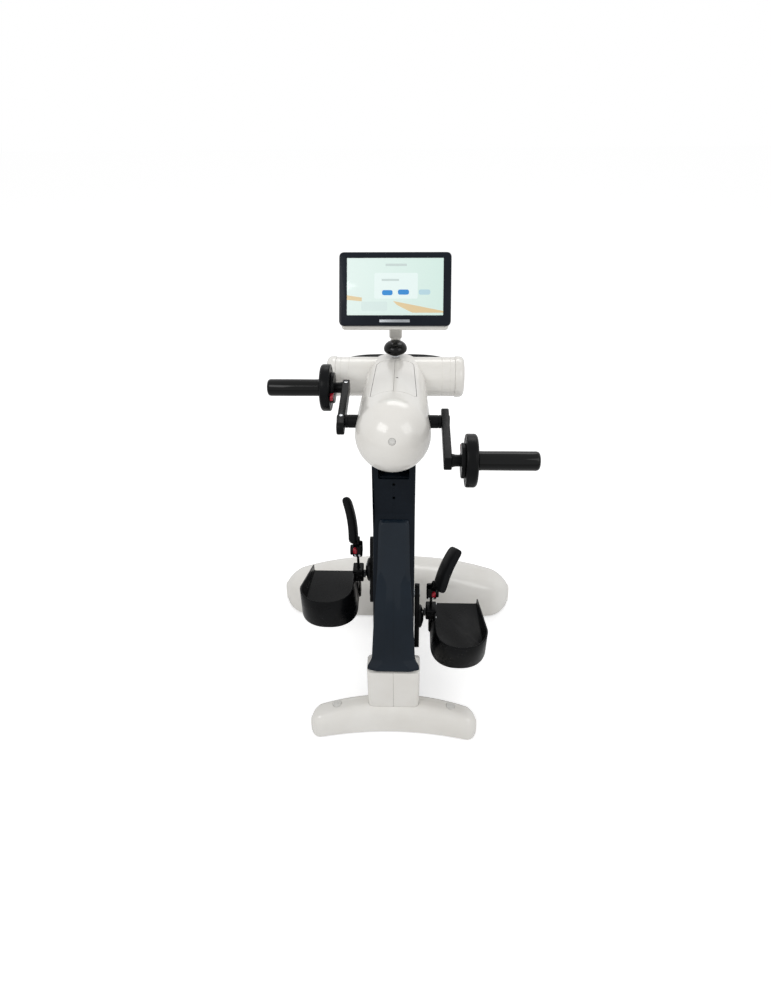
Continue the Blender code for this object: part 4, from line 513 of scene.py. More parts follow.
def addSoftLamp(name, place, target, size, watts):
    bpy.ops.object.light_add(type="AREA", location=place)
    lamp = bpy.context.object
    lamp.name = name
    lamp.data.shape = "RECTANGLE"
    lamp.data.size = size[0]
    lamp.data.size_y = size[1]
    lamp.data.energy = watts
    away = Vector(place) - Vector(target)
    lamp.matrix_world = Matrix.Translation(place) @ away.to_track_quat("Z", "Y").to_matrix().to_4x4()


def setUpStudio(values):
    world = bpy.data.worlds.new("studio")
    bpy.context.scene.world = world
    world.use_nodes = True
    tree = world.node_tree
    background = tree.nodes["Background"]
    rays = addNode(tree, "ShaderNodeLightPath")
    mirrored = addNode(tree, "ShaderNodeMath", {"operation": "MAXIMUM"},
        {0: rays.outputs["Is Glossy Ray"], 1: rays.outputs["Is Transmission Ray"]})
    seen = addNode(tree, "ShaderNodeMath", {"operation": "MAXIMUM"},
        {0: rays.outputs["Is Camera Ray"], 1: mirrored.outputs[0]})
    background.inputs["Color"].default_value = (1, 1, 1, 1)
    level = addNode(tree, "ShaderNodeMapRange", {"To Min": values["worldStrength"]},
        {"Value": seen.outputs[0]})
    tree.links.new(level.outputs["Result"], background.inputs["Strength"])
    addSoftLamp("keyLamp", (-1.3, -1.5, 2.6), (0, 0, 0.6), (1.4, 1.0), values["keyPower"])
    addSoftLamp("fillLamp", (1.6, -1.2, 2.2), (0, 0, 0.5), (1.2, 1.2), values["fillPower"])
    addSoftLamp("backLamp", (0.3, 1.6, 2.4), (0, 0, 0.5), (1.6, 0.8), values["backPower"])
    material, floorTree, shader = newMaterial("paleFloor")[:3]
    bpy.ops.mesh.primitive_plane_add(size=14, location=(0, 0, -0.0005))
    floor = bpy.context.object
    floor.name = "floor"
    floor.data.materials.append(material)
    shader.inputs["Base Color"].default_value = (0.93, 0.93, 0.93, 1)
    shader.inputs["Roughness"].default_value = 0.9
    shader.inputs["Specular IOR Level"].default_value = 0.0
    floorRays = addNode(floorTree, "ShaderNodeLightPath")
    lift = addNode(floorTree, "ShaderNodeMapRange", {"To Max": 0.45},
        {"Value": floorRays.outputs["Is Camera Ray"]})
    shader.inputs["Emission Color"].default_value = (1, 1, 1, 1)
    floorTree.links.new(lift.outputs["Result"], shader.inputs["Emission Strength"])
    bpy.context.scene.view_settings.view_transform = "Standard"


print("camera and studio")
setUpCamera(cameraSettings)
setUpStudio(lightSettings)

frontFoot = {
    "halfLength": 0.2025, "front": -0.255, "sweep": 0.0250, "depth": 0.076, "height": 0.078,
    "endHeight": 0.060, "endRound": 0.026, "rim": 0.004, "wall": 0.004, "plugX": 0.139, "plugY": -0.224,
    "plugRadius": 0.0105, "narrowing": 0.006,
}
rearFoot = {
    "halfLength": 0.330, "front": 0.132, "back": 0.281, "height": 0.146, "endHeight": 0.074,
    "endRound": 0.055, "rim": 0.004, "wall": 0.004, "notchIn": 0.2865, "notchOut": 0.3105,
    "notchFront": 0.229, "notchBack": 0.304, "notchTop": 0.050, "frontCurve": 0.030, "backCurve": 0.014,
}

frameHalf = 0.0253  # room in the feet for the steel frame: half its width, and its top
frameTop = 0.0503


def frontFootEdges(v, x):
    share = (x / v["halfLength"]) ** 2
    front = v["front"] - v["sweep"] * share
    drop = (v["height"] - v["endHeight"]) * share
    return front, front + v["depth"] - v["narrowing"] * share, v["height"] - drop


def rearFootEdges(v, x):
    share = abs(x) / v["halfLength"]
    return (v["front"] + v["frontCurve"] * share ** 8, v["back"] - v["backCurve"] * share ** 4,
        v["height"] - (v["height"] - v["endHeight"]) * share ** 2.2)


def footSections(v, edges, inset, smallest, stations=34, around=36):
    rings = []
    sideShape, topShape = 3.0, 2.4  # exponents of the rounded section
    reach = v["halfLength"] - inset
    for i in range(-stations, stations + 1):
        x = reach * sin(pi / 2 * i / stations)
        beyond = max(0.0, abs(x) - (reach - v["endRound"])) / v["endRound"]
        shrink = max(smallest, sqrt(max(0.0, 1 - beyond ** 2)))
        front, back, height = edges(v, x)
        middle = (front + back) / 2
        half = ((back - front) / 2 - inset) * shrink
        floor = 0.0 if inset else v["rim"]
        top = (height - inset) * (0.55 + 0.45 * shrink)
        ring = []
        for k in range(around):
            angle = pi * (1 - k / (around - 1))
            side = power(cos(angle), 2 / sideShape)
            rise = sin(angle) ** (2 / topShape) if 0 < k < around - 1 else 0.0
            ring.append((x, middle + half * side, floor + (top - floor) * rise))
        rings.append(ring)
    return rings


def makeFrontFoot(v):
    foot = wrapSheet(footSections(v, frontFootEdges, 0.0, 0.30))
    carve(foot, wrapSheet(footSections(v, frontFootEdges, v["wall"], 0.30)))
    carve(foot, slab(collarPlan(-fitGap), -0.01, 0.2, "Z"))
    carve(foot, block((-frameHalf, -0.23, -0.01), (frameHalf, 0.0, frameTop), 0))
    for side in (-1, 1):
        carve(foot, rod(v["plugRadius"] + 2 * fitGap, (side * v["plugX"], v["plugY"], 0.03),
            (side * v["plugX"], v["plugY"], 0.12)))
    finishPiece(foot, "frontFootShell", whiteAbs, "base", "front_foot", 40)


def makeFootPlugs(v):
    for side, word, tail in bothSides:
        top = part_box("foot_plug" + tail)[1][2]
        r = v["plugRadius"]
        plug = turnOnLathe([(0, 0.0), (r * 0.45, 0.0), (r * 0.55, -0.0006), (r * 0.65, 0.0),
            (r - 0.0018, 0.0), (r - 0.0005, -0.0006), (r, -0.0020), (r, -0.008), (0, -0.008)],
            (side * v["plugX"], v["plugY"], top))
        finishPiece(plug, "footPlug" + word, greyPlug, "base", "foot_plug" + tail)


def makeRearFoot(v):
    foot = wrapSheet(footSections(v, rearFootEdges, 0.0, 0.30))
    carve(foot, block((-frameHalf, 0.0, -0.01), (frameHalf, 0.222, frameTop), 0))
    for side in (-1, 1):
        x = span(side, v["notchIn"], v["notchOut"])
        carve(foot, block((x[0], v["notchFront"], -0.02), (x[1], v["notchBack"], v["notchTop"]), 0.004, 4))
    carve(foot, wrapSheet(footSections(v, rearFootEdges, v["wall"], 0.30)))
    finishPiece(foot, "rearFootShell", whiteAbs, "base", "rear_foot", 40)


collar = {
    "half": 0.062, "front": -0.234, "top": 0.200, "back": -0.118, "backTop": 0.128, "wall": 0.003,
    "floor": frameTop, "topBack": -0.185, "corner": 0.014,
}


def collarPlan(inset):
    v = collar
    half, front, back = v["half"] - inset, v["front"] + inset, v["back"] - inset
    return roundCorners(rectangle(-half, front, half, back), v["corner"] - inset, 8)


def collarSide(inset):
    v = collar
    bottom = v["floor"] - (0.01 if inset else 0.0)
    return [(v["front"] - 0.01, bottom), (v["back"] + 0.01, bottom),
        (v["back"] + 0.01, v["backTop"] - 0.01 - inset * 1.4), (v["topBack"], v["top"] - inset),
        (v["front"] - 0.01, v["top"] - inset)]


def makeCollar(v):
    # side outline cut to the plan, then the same drawn in by the wall and taken out
    for side, word, tail in bothSides:
        low, high = span(side, halfSeam, 0.08)
        half = slab(collarSide(0.0), low, high)
        carve(half, slab(collarPlan(0.0), 0.0, 0.3, "Z"), how="INTERSECT")
        roundEdges(half, 0.0009, 3, 50)
        inner = slab(collarSide(v["wall"]), -0.1, 0.1)
        carve(inner, slab(collarPlan(v["wall"]), 0.0, 0.3, "Z"), how="INTERSECT")
        carve(half, inner, slab(columnOutline(-fitGap), -column["half"] - fitGap, column["half"] + fitGap))
        finishPiece(half, "collar" + word, whiteAbs, "base", "collar" + tail, 40)


column = {
    "half": 0.0465, "wall": 0.0035, "cavityBottom": 0.640, "cavityHalf": 0.033, "postY": -0.015,
    "postRoom": 0.026, "outline": [(-0.223, 0.072), (-0.223, 0.207), (-0.140, 0.420), (-0.076, 0.535),
    (-0.071, 0.547), (-0.071, 0.698), (0.020, 0.702), (0.020, 0.230), (-0.118, 0.118), (-0.124, 0.072)],
    "axleY": -0.038, "axleZ": 0.2687, "edge": 0.0045, "screwHeights": (0.590, 0.626),
}


def columnOutline(inset):
    points = [Vector(p) for p in column["outline"]]
    result = []
    for i, corner in enumerate(points):
        into = (corner - points[i - 1]).normalized()
        out = (points[(i + 1) % len(points)] - corner).normalized()
        first = Vector((into.y, -into.x))
        second = Vector((out.y, -out.x))
        bisector = (first + second).normalized()
        spot = corner + bisector * inset / max(0.3, bisector.dot(first))
        result.append((spot.x, spot.y))
    return result


def makeColumn(v):
    # each half: rounded outer edges, hollow, cut for the post, the cavity, the axle and two screws
    for side, word, tail in bothSides:
        far = side * v["half"]
        low, high = span(side, halfSeam, v["half"])
        shell = slab(roundCorners(v["outline"], 0.003, 3), low, high)
        bpy.ops.object.mode_set(mode="EDIT")
        bpy.ops.mesh.select_all(action="DESELECT")
        bpy.ops.object.mode_set(mode="OBJECT")
        for edge in shell.data.edges:
            a, b = (shell.data.vertices[k].co for k in edge.vertices)
            edge.select = abs(a.x - far) < 1e-5 and abs(b.x - far) < 1e-5
        bpy.ops.object.mode_set(mode="EDIT")
        bpy.ops.mesh.bevel(offset=v["edge"], segments=5, affect="EDGES")
        bpy.ops.object.mode_set(mode="OBJECT")
        inner = v["half"] - v["wall"]
        carve(shell, slab(columnOutline(v["wall"]), -inner, inner))
        carve(shell, block((-inner, -0.3, 0.05), (inner, 0.1, 0.08), 0))
        room = v["postRoom"]
        carve(shell, block((-room, v["postY"] - room, 0.69), (room, v["postY"] + room, 0.712), 0),
            block((-v["cavityHalf"], -0.09, v["cavityBottom"]), (v["cavityHalf"], v["postY"] - room, 0.8),
            0.003), crossRod(0.012, 0.1, v["axleY"], v["axleZ"]))
        for height in v["screwHeights"]:
            carve(shell, turnOnLathe([(0, 0.02), (0.0035, 0.02), (0.0035, -0.0012), (0.0052, -0.0026),
                (0.0052, -0.01), (0, -0.01)], (0, -0.071, height), (0, 1, 0), 32))
        finishPiece(shell, "columnShell" + word, navyAbs, "base", "column_shell" + tail)


def modelScrew():
    # socket-head screw drawn large, then copied down to each screw's place and size
    screw = rod(1.0, (0, 0, -0.5), (0, 0, 1.0), 0.14, 40)
    bpy.ops.object.select_all(action="DESELECT")
    bpy.ops.mesh.primitive_cylinder_add(vertices=6, radius=0.56, depth=1.4, location=(0, 0, 1.0))
    return carve(screw, bpy.context.object)


def addScrew(name, body, centre, direction, radius, height):
    screw = copyOf(largeScrew)
    turnPiece(screw, facing(centre, direction) @ Matrix.Diagonal((radius, radius, height, 1.0)))
    finishPiece(screw, name, chrome, body)


cavity = {
    "plateLow": (-0.028, -0.0495, 0.645), "plateHigh": (0.028, -0.0455, 0.6925),
    "shelfLow": (-0.0325, -0.0670, 0.6405), "shelfHigh": (0.0325, -0.0440, 0.6435),
    "screws": ((-0.0215, -0.0497, 0.682), (0.020, -0.0497, 0.676), (0.012, -0.0497, 0.655)),
}


def makeCavityDetail(v):
    # sheet bracket behind the opening, with three bright screws
    bracket = block(v["plateLow"], v["plateHigh"], 0.0008)
    shelf = block(v["shelfLow"], v["shelfHigh"], 0.0006)
    finishPiece(weld(bracket, shelf), "cavityBracket", navyAbs, "base")
    for i, place in enumerate(v["screws"]):
        addScrew("cavityScrew%d" % (i + 1), "base", place, (0, -1, 0), 0.0036, 0.0022)


# line: height and y of the front; stations: height, half width, half width of the flat front face
cover = {
    "thickness": 0.010, "seamHalf": 0.0003, "seamHeights": (0.236, 0.300, 0.360, 0.404),
    "line": [(0.207, -0.233), (0.420, -0.150), (0.535, -0.086)], "stations": [(0.207, 0.0600, 0.0400),
    (0.210, 0.0604, 0.0400), (0.2145, 0.0596, 0.0380), (0.2200, 0.0565, 0.0320), (0.2270, 0.0525, 0.0240),
    (0.2350, 0.0500, 0.0198), (0.300, 0.0465, 0.0165), (0.410, 0.0385, 0.0155), (0.420, 0.0380, 0.0190),
    (0.436, 0.0365, 0.0275), (0.500, 0.0350, 0.0280), (0.527, 0.0340, 0.0278), (0.5325, 0.0325, 0.0262),
    (0.535, 0.0300, 0.0240)],
}


def coverFront(height):
    line = cover["line"]
    for (low, first), (high, second) in zip(line, line[1:]):
        if height <= high or high == line[-1][0]:
            return first + (second - first) * (height - low) / (high - low)


def makeFrontCover(v):
    rings = []
    for index, (height, half, face) in enumerate(v["stations"]):
        back = coverFront(height) + v["thickness"] - fitGap
        front = back - v["thickness"] + (0.0015 if index >= len(v["stations"]) - 2 else 0.0)
        if index == len(v["stations"]) - 1:
            front = back - 0.004
        edge = back - 0.0035
        shoulder = face + (half - face) * 0.10
        rings.append([(-half, back, height), (-half, edge, height), (-half + 0.0008, edge - 0.0012, height),
            (-shoulder, front + 0.0006, height), (-face, front, height), (face, front, height),
            (shoulder, front + 0.0006, height), (half - 0.0008, edge - 0.0012, height),
            (half, edge, height), (half, back, height)])
    piece = wrapSheet(rings)
    # rounded creases catch the lamps; a fine mould seam runs up the lower part
    roundEdges(piece, 0.0012, 3, 14)
    heights = v["seamHeights"]
    seam = [(coverFront(h) - 0.001, h) for h in heights]
    seam += [(coverFront(h) + 0.0006, h) for h in reversed(heights)]
    carve(piece, slab(seam, -v["seamHalf"], v["seamHalf"]))
    finishPiece(piece, "frontCover", navyLacquer, "base", "front_cover", 16)


print("feet, collar and column")
largeScrew = modelScrew()
makeFrontFoot(frontFoot)
makeFootPlugs(frontFoot)
makeRearFoot(rearFoot)
makeCollar(collar)
makeColumn(column)
makeCavityDetail(cavity)
makeFrontCover(cover)

head = {
    "frontY": -0.107, "frontZ": 0.775, "frontRadius": 0.075, "backY": 0.147, "backZ": 0.770,
    "backRadius": 0.0526, "neckHalf": 0.066, "wall": 0.003, "seam": 0.0009, "panelFront": -0.0615,
    "panelBack": 0.118, "panelFrontHalf": 0.047, "panelBackHalf": 0.041, "tubeRadius": 0.0437,
    "armY": -0.082, "armZ": 0.789, "sleeve": 0.0132, "stalkY": 0.1807, "stalkSeat": 0.8205, "knobY": 0.1426,
    "knobSeat": 0.8230, "postRoomLow": (-0.024, -0.039, 0.65), "postRoomHigh": (0.024, 0.009, 0.742),
    "buttonRise": 21.0, "buttonRadius": 0.0065,
}


def eggSections(v, inset, around=96):
    big, small, neck = v["frontRadius"] - inset, v["backRadius"] - inset, v["neckHalf"] - inset
    origin = Vector((0, v["frontY"], v["frontZ"]))
    across = Vector((0, v["backY"], v["backZ"])) - origin
    length = across.length
    forward = across / length
    up = Vector((0, -forward.z, forward.y))
    lean = asin((v["frontRadius"] - v["backRadius"]) / length)
    start, end = big * sin(lean), length + small * sin(lean)
    stations = [-big * cos(radians(a)) for a in (3, 9, 15, 21, 28, 35, 42, 49, 56, 63, 70, 77, 84, 90)]
    stations += [start + (end - start) * k / 14 for k in range(15)]
    stations += [length + small * sin(radians(a)) for a in (14, 22, 30, 38, 46, 54, 62, 70, 77, 83, 87)]
    rings = []
    for s in stations:
        if s < start:
            rise = sqrt(max(big ** 2 - s ** 2, 0))
            width, shape = rise, 2.0
        else:
            share = min(1.0, (s - start) / (end - start))
            rise = (big + (small - big) * share) * cos(lean)
            if s > end:
                rise = sqrt(max(small ** 2 - (s - length) ** 2, 0))
            smooth = smoothStep(share)
            width = big * cos(lean) + (neck - big * cos(lean)) * smooth
            shape = 2.0 + 0.15 * smooth
            if s > end:
                width *= max(0.45, sqrt(rise / (small * cos(lean))))
        ring = []
        for i in range(around):
            angle = 2 * pi * i / around
            u = power(cos(angle), 2 / shape) * width
            w = power(sin(angle), 2 / shape) * rise
            ring.append(origin + forward * s + up * w + Vector((u, 0, 0)))
        rings.append(ring)
    return rings


def panelPlan(v, inset):
    front, back = v["panelFront"] + inset * 2, v["panelBack"] - inset
    corners = [(-v["panelFrontHalf"] + inset, front), (v["panelFrontHalf"] - inset, front),
        (v["panelBackHalf"] - inset, back), (-v["panelBackHalf"] + inset, back)]
    return roundCorners(corners, 0.012, 8)


def tubeTool(v, radius):
    return crossRod(radius, 0.2, v["backY"], v["backZ"], 96)


def buttonPlace(v):
    rise = radians(v["buttonRise"])
    way = Vector((0, -cos(rise), sin(rise)))
    return Vector((0, v["frontY"], v["frontZ"])) + way * v["frontRadius"], way


def makeHeadShell(v):
    shell = wrapSheet(eggSections(v, 0.0))
    carve(shell, wrapSheet(eggSections(v, v["wall"], 64)))
    seat = (0, v["stalkY"], v["stalkSeat"])
    carve(shell, rod(0.012, (0, v["stalkY"], 0.79), (0, v["stalkY"], 0.85)))
    socket = turnOnLathe([(0.0093, 0.0), (0.0125, 0.0), (0.0135, -0.001), (0.0135, -0.0165),
        (0.0093, -0.0165)], seat, closed=True)
    carve(shell, socket, how="UNION")
    carve(shell, tubeTool(v, v["tubeRadius"] + fitGap))
    carve(shell, block(v["postRoomLow"], v["postRoomHigh"], 0.002))
    carve(shell, slab(panelPlan(v, 0.0), 0.80, 0.95, "Z"))
    carve(shell, crossRod(v["sleeve"] + 2 * fitGap, 0.1, v["armY"], v["armZ"]),
        rod(0.0048, (0, v["knobY"], 0.80), (0, v["knobY"], 0.90)))
    start, way = buttonPlace(v)
    carve(shell, rod(v["buttonRadius"] + 2 * fitGap, start - way * 0.02, start + way * 0.02))
    finishPiece(shell, "headShell", whiteAbs, "head", "head_shell", 45)


def makeTopPanels(v):
    # two thin lids in the opening, a hair below the shell so that the seams read
    for side, word, tail in bothSides:
        panel = wrapSheet(eggSections(v, 0.0004))
        carve(panel, wrapSheet(eggSections(v, v["wall"], 64)))
        carve(panel, slab(panelPlan(v, v["seam"]), 0.80, 0.95, "Z"), how="INTERSECT")
        low, high = span(side, 0.00025, 0.1)
        carve(panel, block((low, -0.2, 0.7), (high, 0.2, 1.0), 0), how="INTERSECT")
        finishPiece(panel, "topPanel" + word, whiteAbs, "head", "top_panel" + tail, 45)


def makePowerButton(v):
    start, way = buttonPlace(v)
    r = v["buttonRadius"]
    button = turnOnLathe([(0, 0.0001), (r * 0.45, 0.0002), (r * 0.56, 0.0004), (r * 0.62, -0.0003),
        (r * 0.70, -0.0003), (r * 0.76, 0.0004), (r - 0.0010, 0.0004), (r - 0.0003, 0.0001), (r, -0.0006),
        (r, -0.0043), (r + 0.002, -0.0043), (r + 0.002, -0.0065), (0, -0.0065)], start, way)
    finishPiece(button, "powerButton", greyPlug, "power_button", "power_button", 40)


def makeScaleMarks(v):
    # plain ticks beside the centre seam, pressed into the lid
    marks = []
    for i in range(5):
        y = 0.108 - i * 0.011
        z = eggTop(v, y)
        length = 0.007 if i % 2 == 0 else 0.0045
        marks.append(block((0.004, y - 0.0004, z - 0.0006), (0.004 + length, y + 0.0004, z + 0.00005),
            0.0001, 1))
    z = eggTop(v, 0.012)
    dash = block((0.003, 0.0095, z - 0.0008), (0.0085, 0.0125, z + 0.0001), 0.0002, 1)
    finishPiece(weld(*marks), "scaleMarks", greyPlug, "head")
    finishPiece(dash, "scaleIndex", blackNylon, "head")


def eggTop(v, y):
    # height of the shell's crest at y
    share = (y - v["frontY"]) / (v["backY"] - v["frontY"])
    middle = v["frontZ"] + (v["backZ"] - v["frontZ"]) * share
    radius = v["frontRadius"] + (v["backRadius"] - v["frontRadius"]) * share
    return middle + radius * 0.9985


def makeLockKnob(v):
    base = v["knobSeat"]
    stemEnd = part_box("lock_knob")[0][2] - base
    profile = [(0, 0.0340), (0.006, 0.0338), (0.0112, 0.0331), (0.0155, 0.0316), (0.019, 0.0294),
        (0.0220, 0.0266), (0.0240, 0.0233), (0.0252, 0.0200), (0.0255, 0.0172), (0.0248, 0.0143),
        (0.0230, 0.0118), (0.0195, 0.0095), (0.0157, 0.0077), (0.0125, 0.0060), (0.0100, 0.0043),
        (0.0082, 0.0034), (0.0080, 0.0029), (0.0046, 0.0026), (0.0045, 0.0010), (0.0045, stemEnd),
        (0, stemEnd)]
    knob = turnOnLathe(profile, (0, v["knobY"], base), steps=72)
    finishPiece(knob, "lockKnob", blackAbs, "lock_knob", "lock_knob", 50)
    collarRing = turnOnLathe([(0.0047, 0.0026), (0.0085, 0.0026), (0.0088, 0.0020), (0.0088, 0.0005),
        (0.0047, 0.0005)], (0, v["knobY"], base), steps=48, closed=True)
    finishPiece(collarRing, "knobWasher", chrome, "lock_knob")


grabTube = {
    "half": 0.132, "radius": head["tubeRadius"], "wall": 0.004, "y": head["backY"], "z": head["backZ"],
    "seams": (0.1035, 0.1215), "capRadius": 0.0454, "capLength": 0.0213,
}


def makeGrabTube(v):
    r, half = v["radius"], v["half"]
    outer = [(r, half)]
    for seam in reversed(v["seams"]):
        outer += [(r, seam + 0.0008), (r - 0.0006, seam + 0.0003), (r - 0.0006, seam - 0.0003),
            (r, seam - 0.0008)]
    outer += [(radius, -height) for radius, height in reversed(outer)]
    profile = [(r - v["wall"], half)] + outer + [(r - v["wall"], -half)]
    tube = turnOnLathe(profile, (0, v["y"], v["z"]), (1, 0, 0), 96, closed=True)
    finishPiece(tube, "grabTube", whiteAbs, "grab_bar", "cross_tube", 30)
    c, length = v["capRadius"], v["capLength"]
    plug = v["radius"] - v["wall"] - fitGap
    for side, word, tail in bothSides:
        cap = turnOnLathe([(0, length - 0.0008), (c * 0.55, length - 0.0006), (c * 0.72, length),
            (c * 0.83, length - 0.0007), (c * 0.91, length - 0.0026), (c * 0.965, length - 0.0055),
            (c * 0.99, length - 0.0090), (c, length - 0.0130), (c, 0.0035), (c - 0.0004, 0.0012),
            (c - 0.0014, 0.0003), (plug, 0.0003), (plug, -0.012), (0, -0.012)],
            (side * half, v["y"], v["z"]), (side, 0, 0), 96)
        finishPiece(cap, "endCap" + word, whiteAbs, "grab_bar", "end_cap" + tail, 40)


rearHandle = {
    "half": 0.1277, "back": 0.2176, "low": 0.7713, "high": 0.7948, "room": 0.0705, "front": 0.030,
    "endBack": 0.034, "squareness": 0.45,
}


def makeRearHandle(v):
    # moulded grip on the far side of the tube, thick in the middle and thin at its ends
    y0 = grabTube["y"]
    rings = []
    count = 40
    for i in range(count + 1):
        share = -1 + 2 * i / count
        bow = 1 - share ** 4
        back = y0 + v["endBack"] + (v["back"] - y0 - v["endBack"]) * bow
        front = y0 + v["front"]
        middleZ = (v["low"] + v["high"]) / 2
        rise = (v["high"] - v["low"]) / 2
        ring = []
        for k in range(28):
            angle = 2 * pi * k / 28
            y = (front + back) / 2 + (back - front) / 2 * power(cos(angle), v["squareness"])
            z = middleZ + rise * power(sin(angle), v["squareness"])
            ring.append((share * v["half"], y, z))
        rings.append(ring)
    handle = wrapSheet(rings)
    carve(handle, tubeTool(head, head["tubeRadius"] + fitGap), crossRod(head["backRadius"] + 0.0045,
        v["room"], y0, grabTube["z"], 96))
    finishPiece(handle, "rearHandle", foamSkin, "grab_bar", "rear_handle", 45)


print("head and grab tube")
makeHeadShell(head)
makeTopPanels(head)
makePowerButton(head)
makeScaleMarks(head)
makeLockKnob(head)
makeGrabTube(grabTube)
makeRearHandle(rearHandle)

arms = {
    "y": head["armY"], "z": head["armZ"], "radius": 0.128, "rise": 2.7, "inner": 0.0955, "thickness": 0.015,
    "half": 0.0135, "short": 0.037, "end": 0.013, "corner": 0.003, "shaft": 0.008, "sleeve": head["sleeve"],
    "sleeveStart": 0.0375, "discIn": 0.135, "discOut": 0.157, "discRadius": 0.0495, "gripRadius": 0.018,
    "gripEnd": 0.271,
}


def gripPlace(v, side):
    turn = radians(v["rise"])
    return (v["y"] - side * v["radius"] * cos(turn), v["z"] - side * v["radius"] * sin(turn))


def alongBar(centre, angle, points):
    c, s = cos(angle), sin(angle)
    return [(centre[0] + u * c - w * s, centre[1] + u * s + w * c) for u, w in points]


def makeArmShaft(v):
    end = v["inner"] + v["thickness"] + 0.001
    stop = v["inner"] - fitGap
    a, b = v["shaft"], v["sleeve"]
    half = [(0, end), (a - 0.0008, end), (a, end - 0.0008), (a, stop), (b - 0.0008, stop),
        (b, stop - 0.0008), (b, stop - 0.005), (b - 0.0006, stop - 0.0055), (b - 0.0006, stop - 0.0065),
        (b, stop - 0.007), (b, v["sleeveStart"]), (a, v["sleeveStart"])]
    profile = half + [(radius, -height) for radius, height in reversed(half)]
    shaft = turnOnLathe(profile, (0, v["y"], v["z"]), (1, 0, 0), 64)
    finishPiece(shaft, "armShaft", blackNylon, "arm_cranks", "arm_shaft")


def carveRelief(bar, side, outer, depth, centre, angle, start, end, half, corner):
    # shallow panel along the outer face of a crank
    panel = alongBar(centre, angle, roundCorners(rectangle(start, -half, end, half), corner, 6))
    carve(bar, slab(panel, *span(side, outer - depth, outer + 0.01)))


def makeArmCranks(v):
    for side, word, tail in bothSides:
        y, z = gripPlace(v, side)
        axle, half, corner = (v["y"], v["z"]), v["half"], v["corner"]
        angle = atan2(z - v["z"], y - v["y"])
        outer = v["inner"] + v["thickness"]
        far = v["radius"] + v["end"]
        outline = arc((far - corner, -half + corner), corner, -90, 0, 4)
        outline += arc((far - corner, half - corner), corner, 0, 90, 4)
        outline += arc((-v["short"] + half, 0), half, 90, 270, 20)
        bar = slab(alongBar(axle, angle, outline), *span(side, v["inner"], outer), edge=0.0022, segments=4)
        carveRelief(bar, side, outer, 0.0018, axle, angle, 0.022, far - 0.032, 0.0085, 0.006)
        plate = v["discIn"] - 0.008
        neck = turnOnLathe([(0.007, plate + 0.001 - outer), (0.011, plate + 0.001 - outer), (0.0112, 0.006),
            (0.0125, 0.002), (0.0125, -0.002), (0.007, -0.002)],
            (side * outer, y, z), (side, 0, 0), 48, True)
        hub = turnOnLathe([(0.0068, 0.0077), (0.031, 0.0077), (0.033, 0.0062), (0.033, 0.0015),
            (0.0315, 0.0), (0.0068, 0.0)], (side * plate, y, z), (side, 0, 0), 64, True)
        toward = Vector((0, v["y"] - y, v["z"] - z)).normalized()
        towardAxle = Matrix.Translation((0, y, z)) @ Matrix.Rotation(atan2(toward.z, toward.y), 4, "X")
        low, high = span(side, plate - 0.001, v["discIn"] + 0.001)
        carve(hub, turnPiece(block((low, 0.018, -0.0058), (high, 0.060, 0.0058), 0), towardAxle))
        spindle = rod(0.006, (side * (outer - 0.003), y, z), (side * (v["discOut"] + 0.045), y, z), 0.0006)
        boss = turnOnLathe([(0.0086, 0.0012), (0.0118, 0.0012), (0.0126, 0.0004), (0.0126, -0.002),
            (0.0086, -0.002)], (side * outer, *axle), (side, 0, 0), 48, True)
        finishPiece(weld(bar, neck, hub, spindle, boss), "armCrank" + word, blackNylon,
            "arm_cranks", "arm_crank" + tail)
        # chromed clamp screws: one in the grip block, one at the axle
        upward = Vector((0, -sin(angle), cos(angle)))
        for name, spot in (("gripScrew", (y, z)), ("axleScrew", axle)):
            place = Vector((side * (v["inner"] + v["thickness"] / 2), *spot)) + upward * (half - 0.0004)
            addScrew(name + word, "arm_cranks", place, upward, 0.0034, 0.0012)
        low, high = span(side, plate + 0.0006, v["discIn"] - 0.0008)
        tab = turnPiece(block((low, 0.023, -0.0053), (high, 0.0458, 0.0053), 0.0014, 4), towardAxle)
        node = "release_tab" + tail
        finishPiece(tab, "releaseTab" + word, red, node, node)
        makeGrip(v, side, word, tail, y, z)


def makeGrip(v, side, word, tail, y, z):
    depth = v["discOut"] - v["discIn"]
    r = v["discRadius"]
    disc = turnOnLathe([(0.0064, depth), (r - 0.017, depth), (r - 0.0080, depth - 0.0002),
        (r - 0.0052, depth - 0.0008), (r - 0.0028, depth - 0.0020), (r - 0.0010, depth - 0.0038),
        (r - 0.0002, depth - 0.0056), (r, depth - 0.0070), (r, 0.0030), (r - 0.0004, 0.0012),
        (r - 0.0016, 0.0), (r - 0.006, 0.0), (r - 0.0065, 0.0008), (r - 0.0115, 0.0008), (r - 0.012, 0.0),
        (0.0064, 0.0)], (side * v["discIn"], y, z), (side, 0, 0), 96, True)
    body = "grip" + tail
    finishPiece(disc, "gripDisc" + word, blackNylon, body, "grip_disc" + tail, 40)
    length = v["gripEnd"] - v["discOut"]
    g = v["gripRadius"]
    grip = turnOnLathe([(0, length), (g * 0.55, length), (g * 0.72, length - 0.0004),
        (g * 0.86, length - 0.0016), (g * 0.95, length - 0.0036), (g, length - 0.0070), (g, length * 0.5),
        (g - 0.0002, 0.010), (g, 0.0045), (g, 0.0016), (g - 0.0010, 0.0003), (0.0063, 0.0003),
        (0.0063, 0.050), (0, 0.050)], (side * v["discOut"], y, z), (side, 0, 0), 72)
    finishPiece(grip, "grip" + word, blackAbs, body, "grip" + tail, 40)


print("arm cranks and grips")
makeArmShaft(arms)
makeArmCranks(arms)

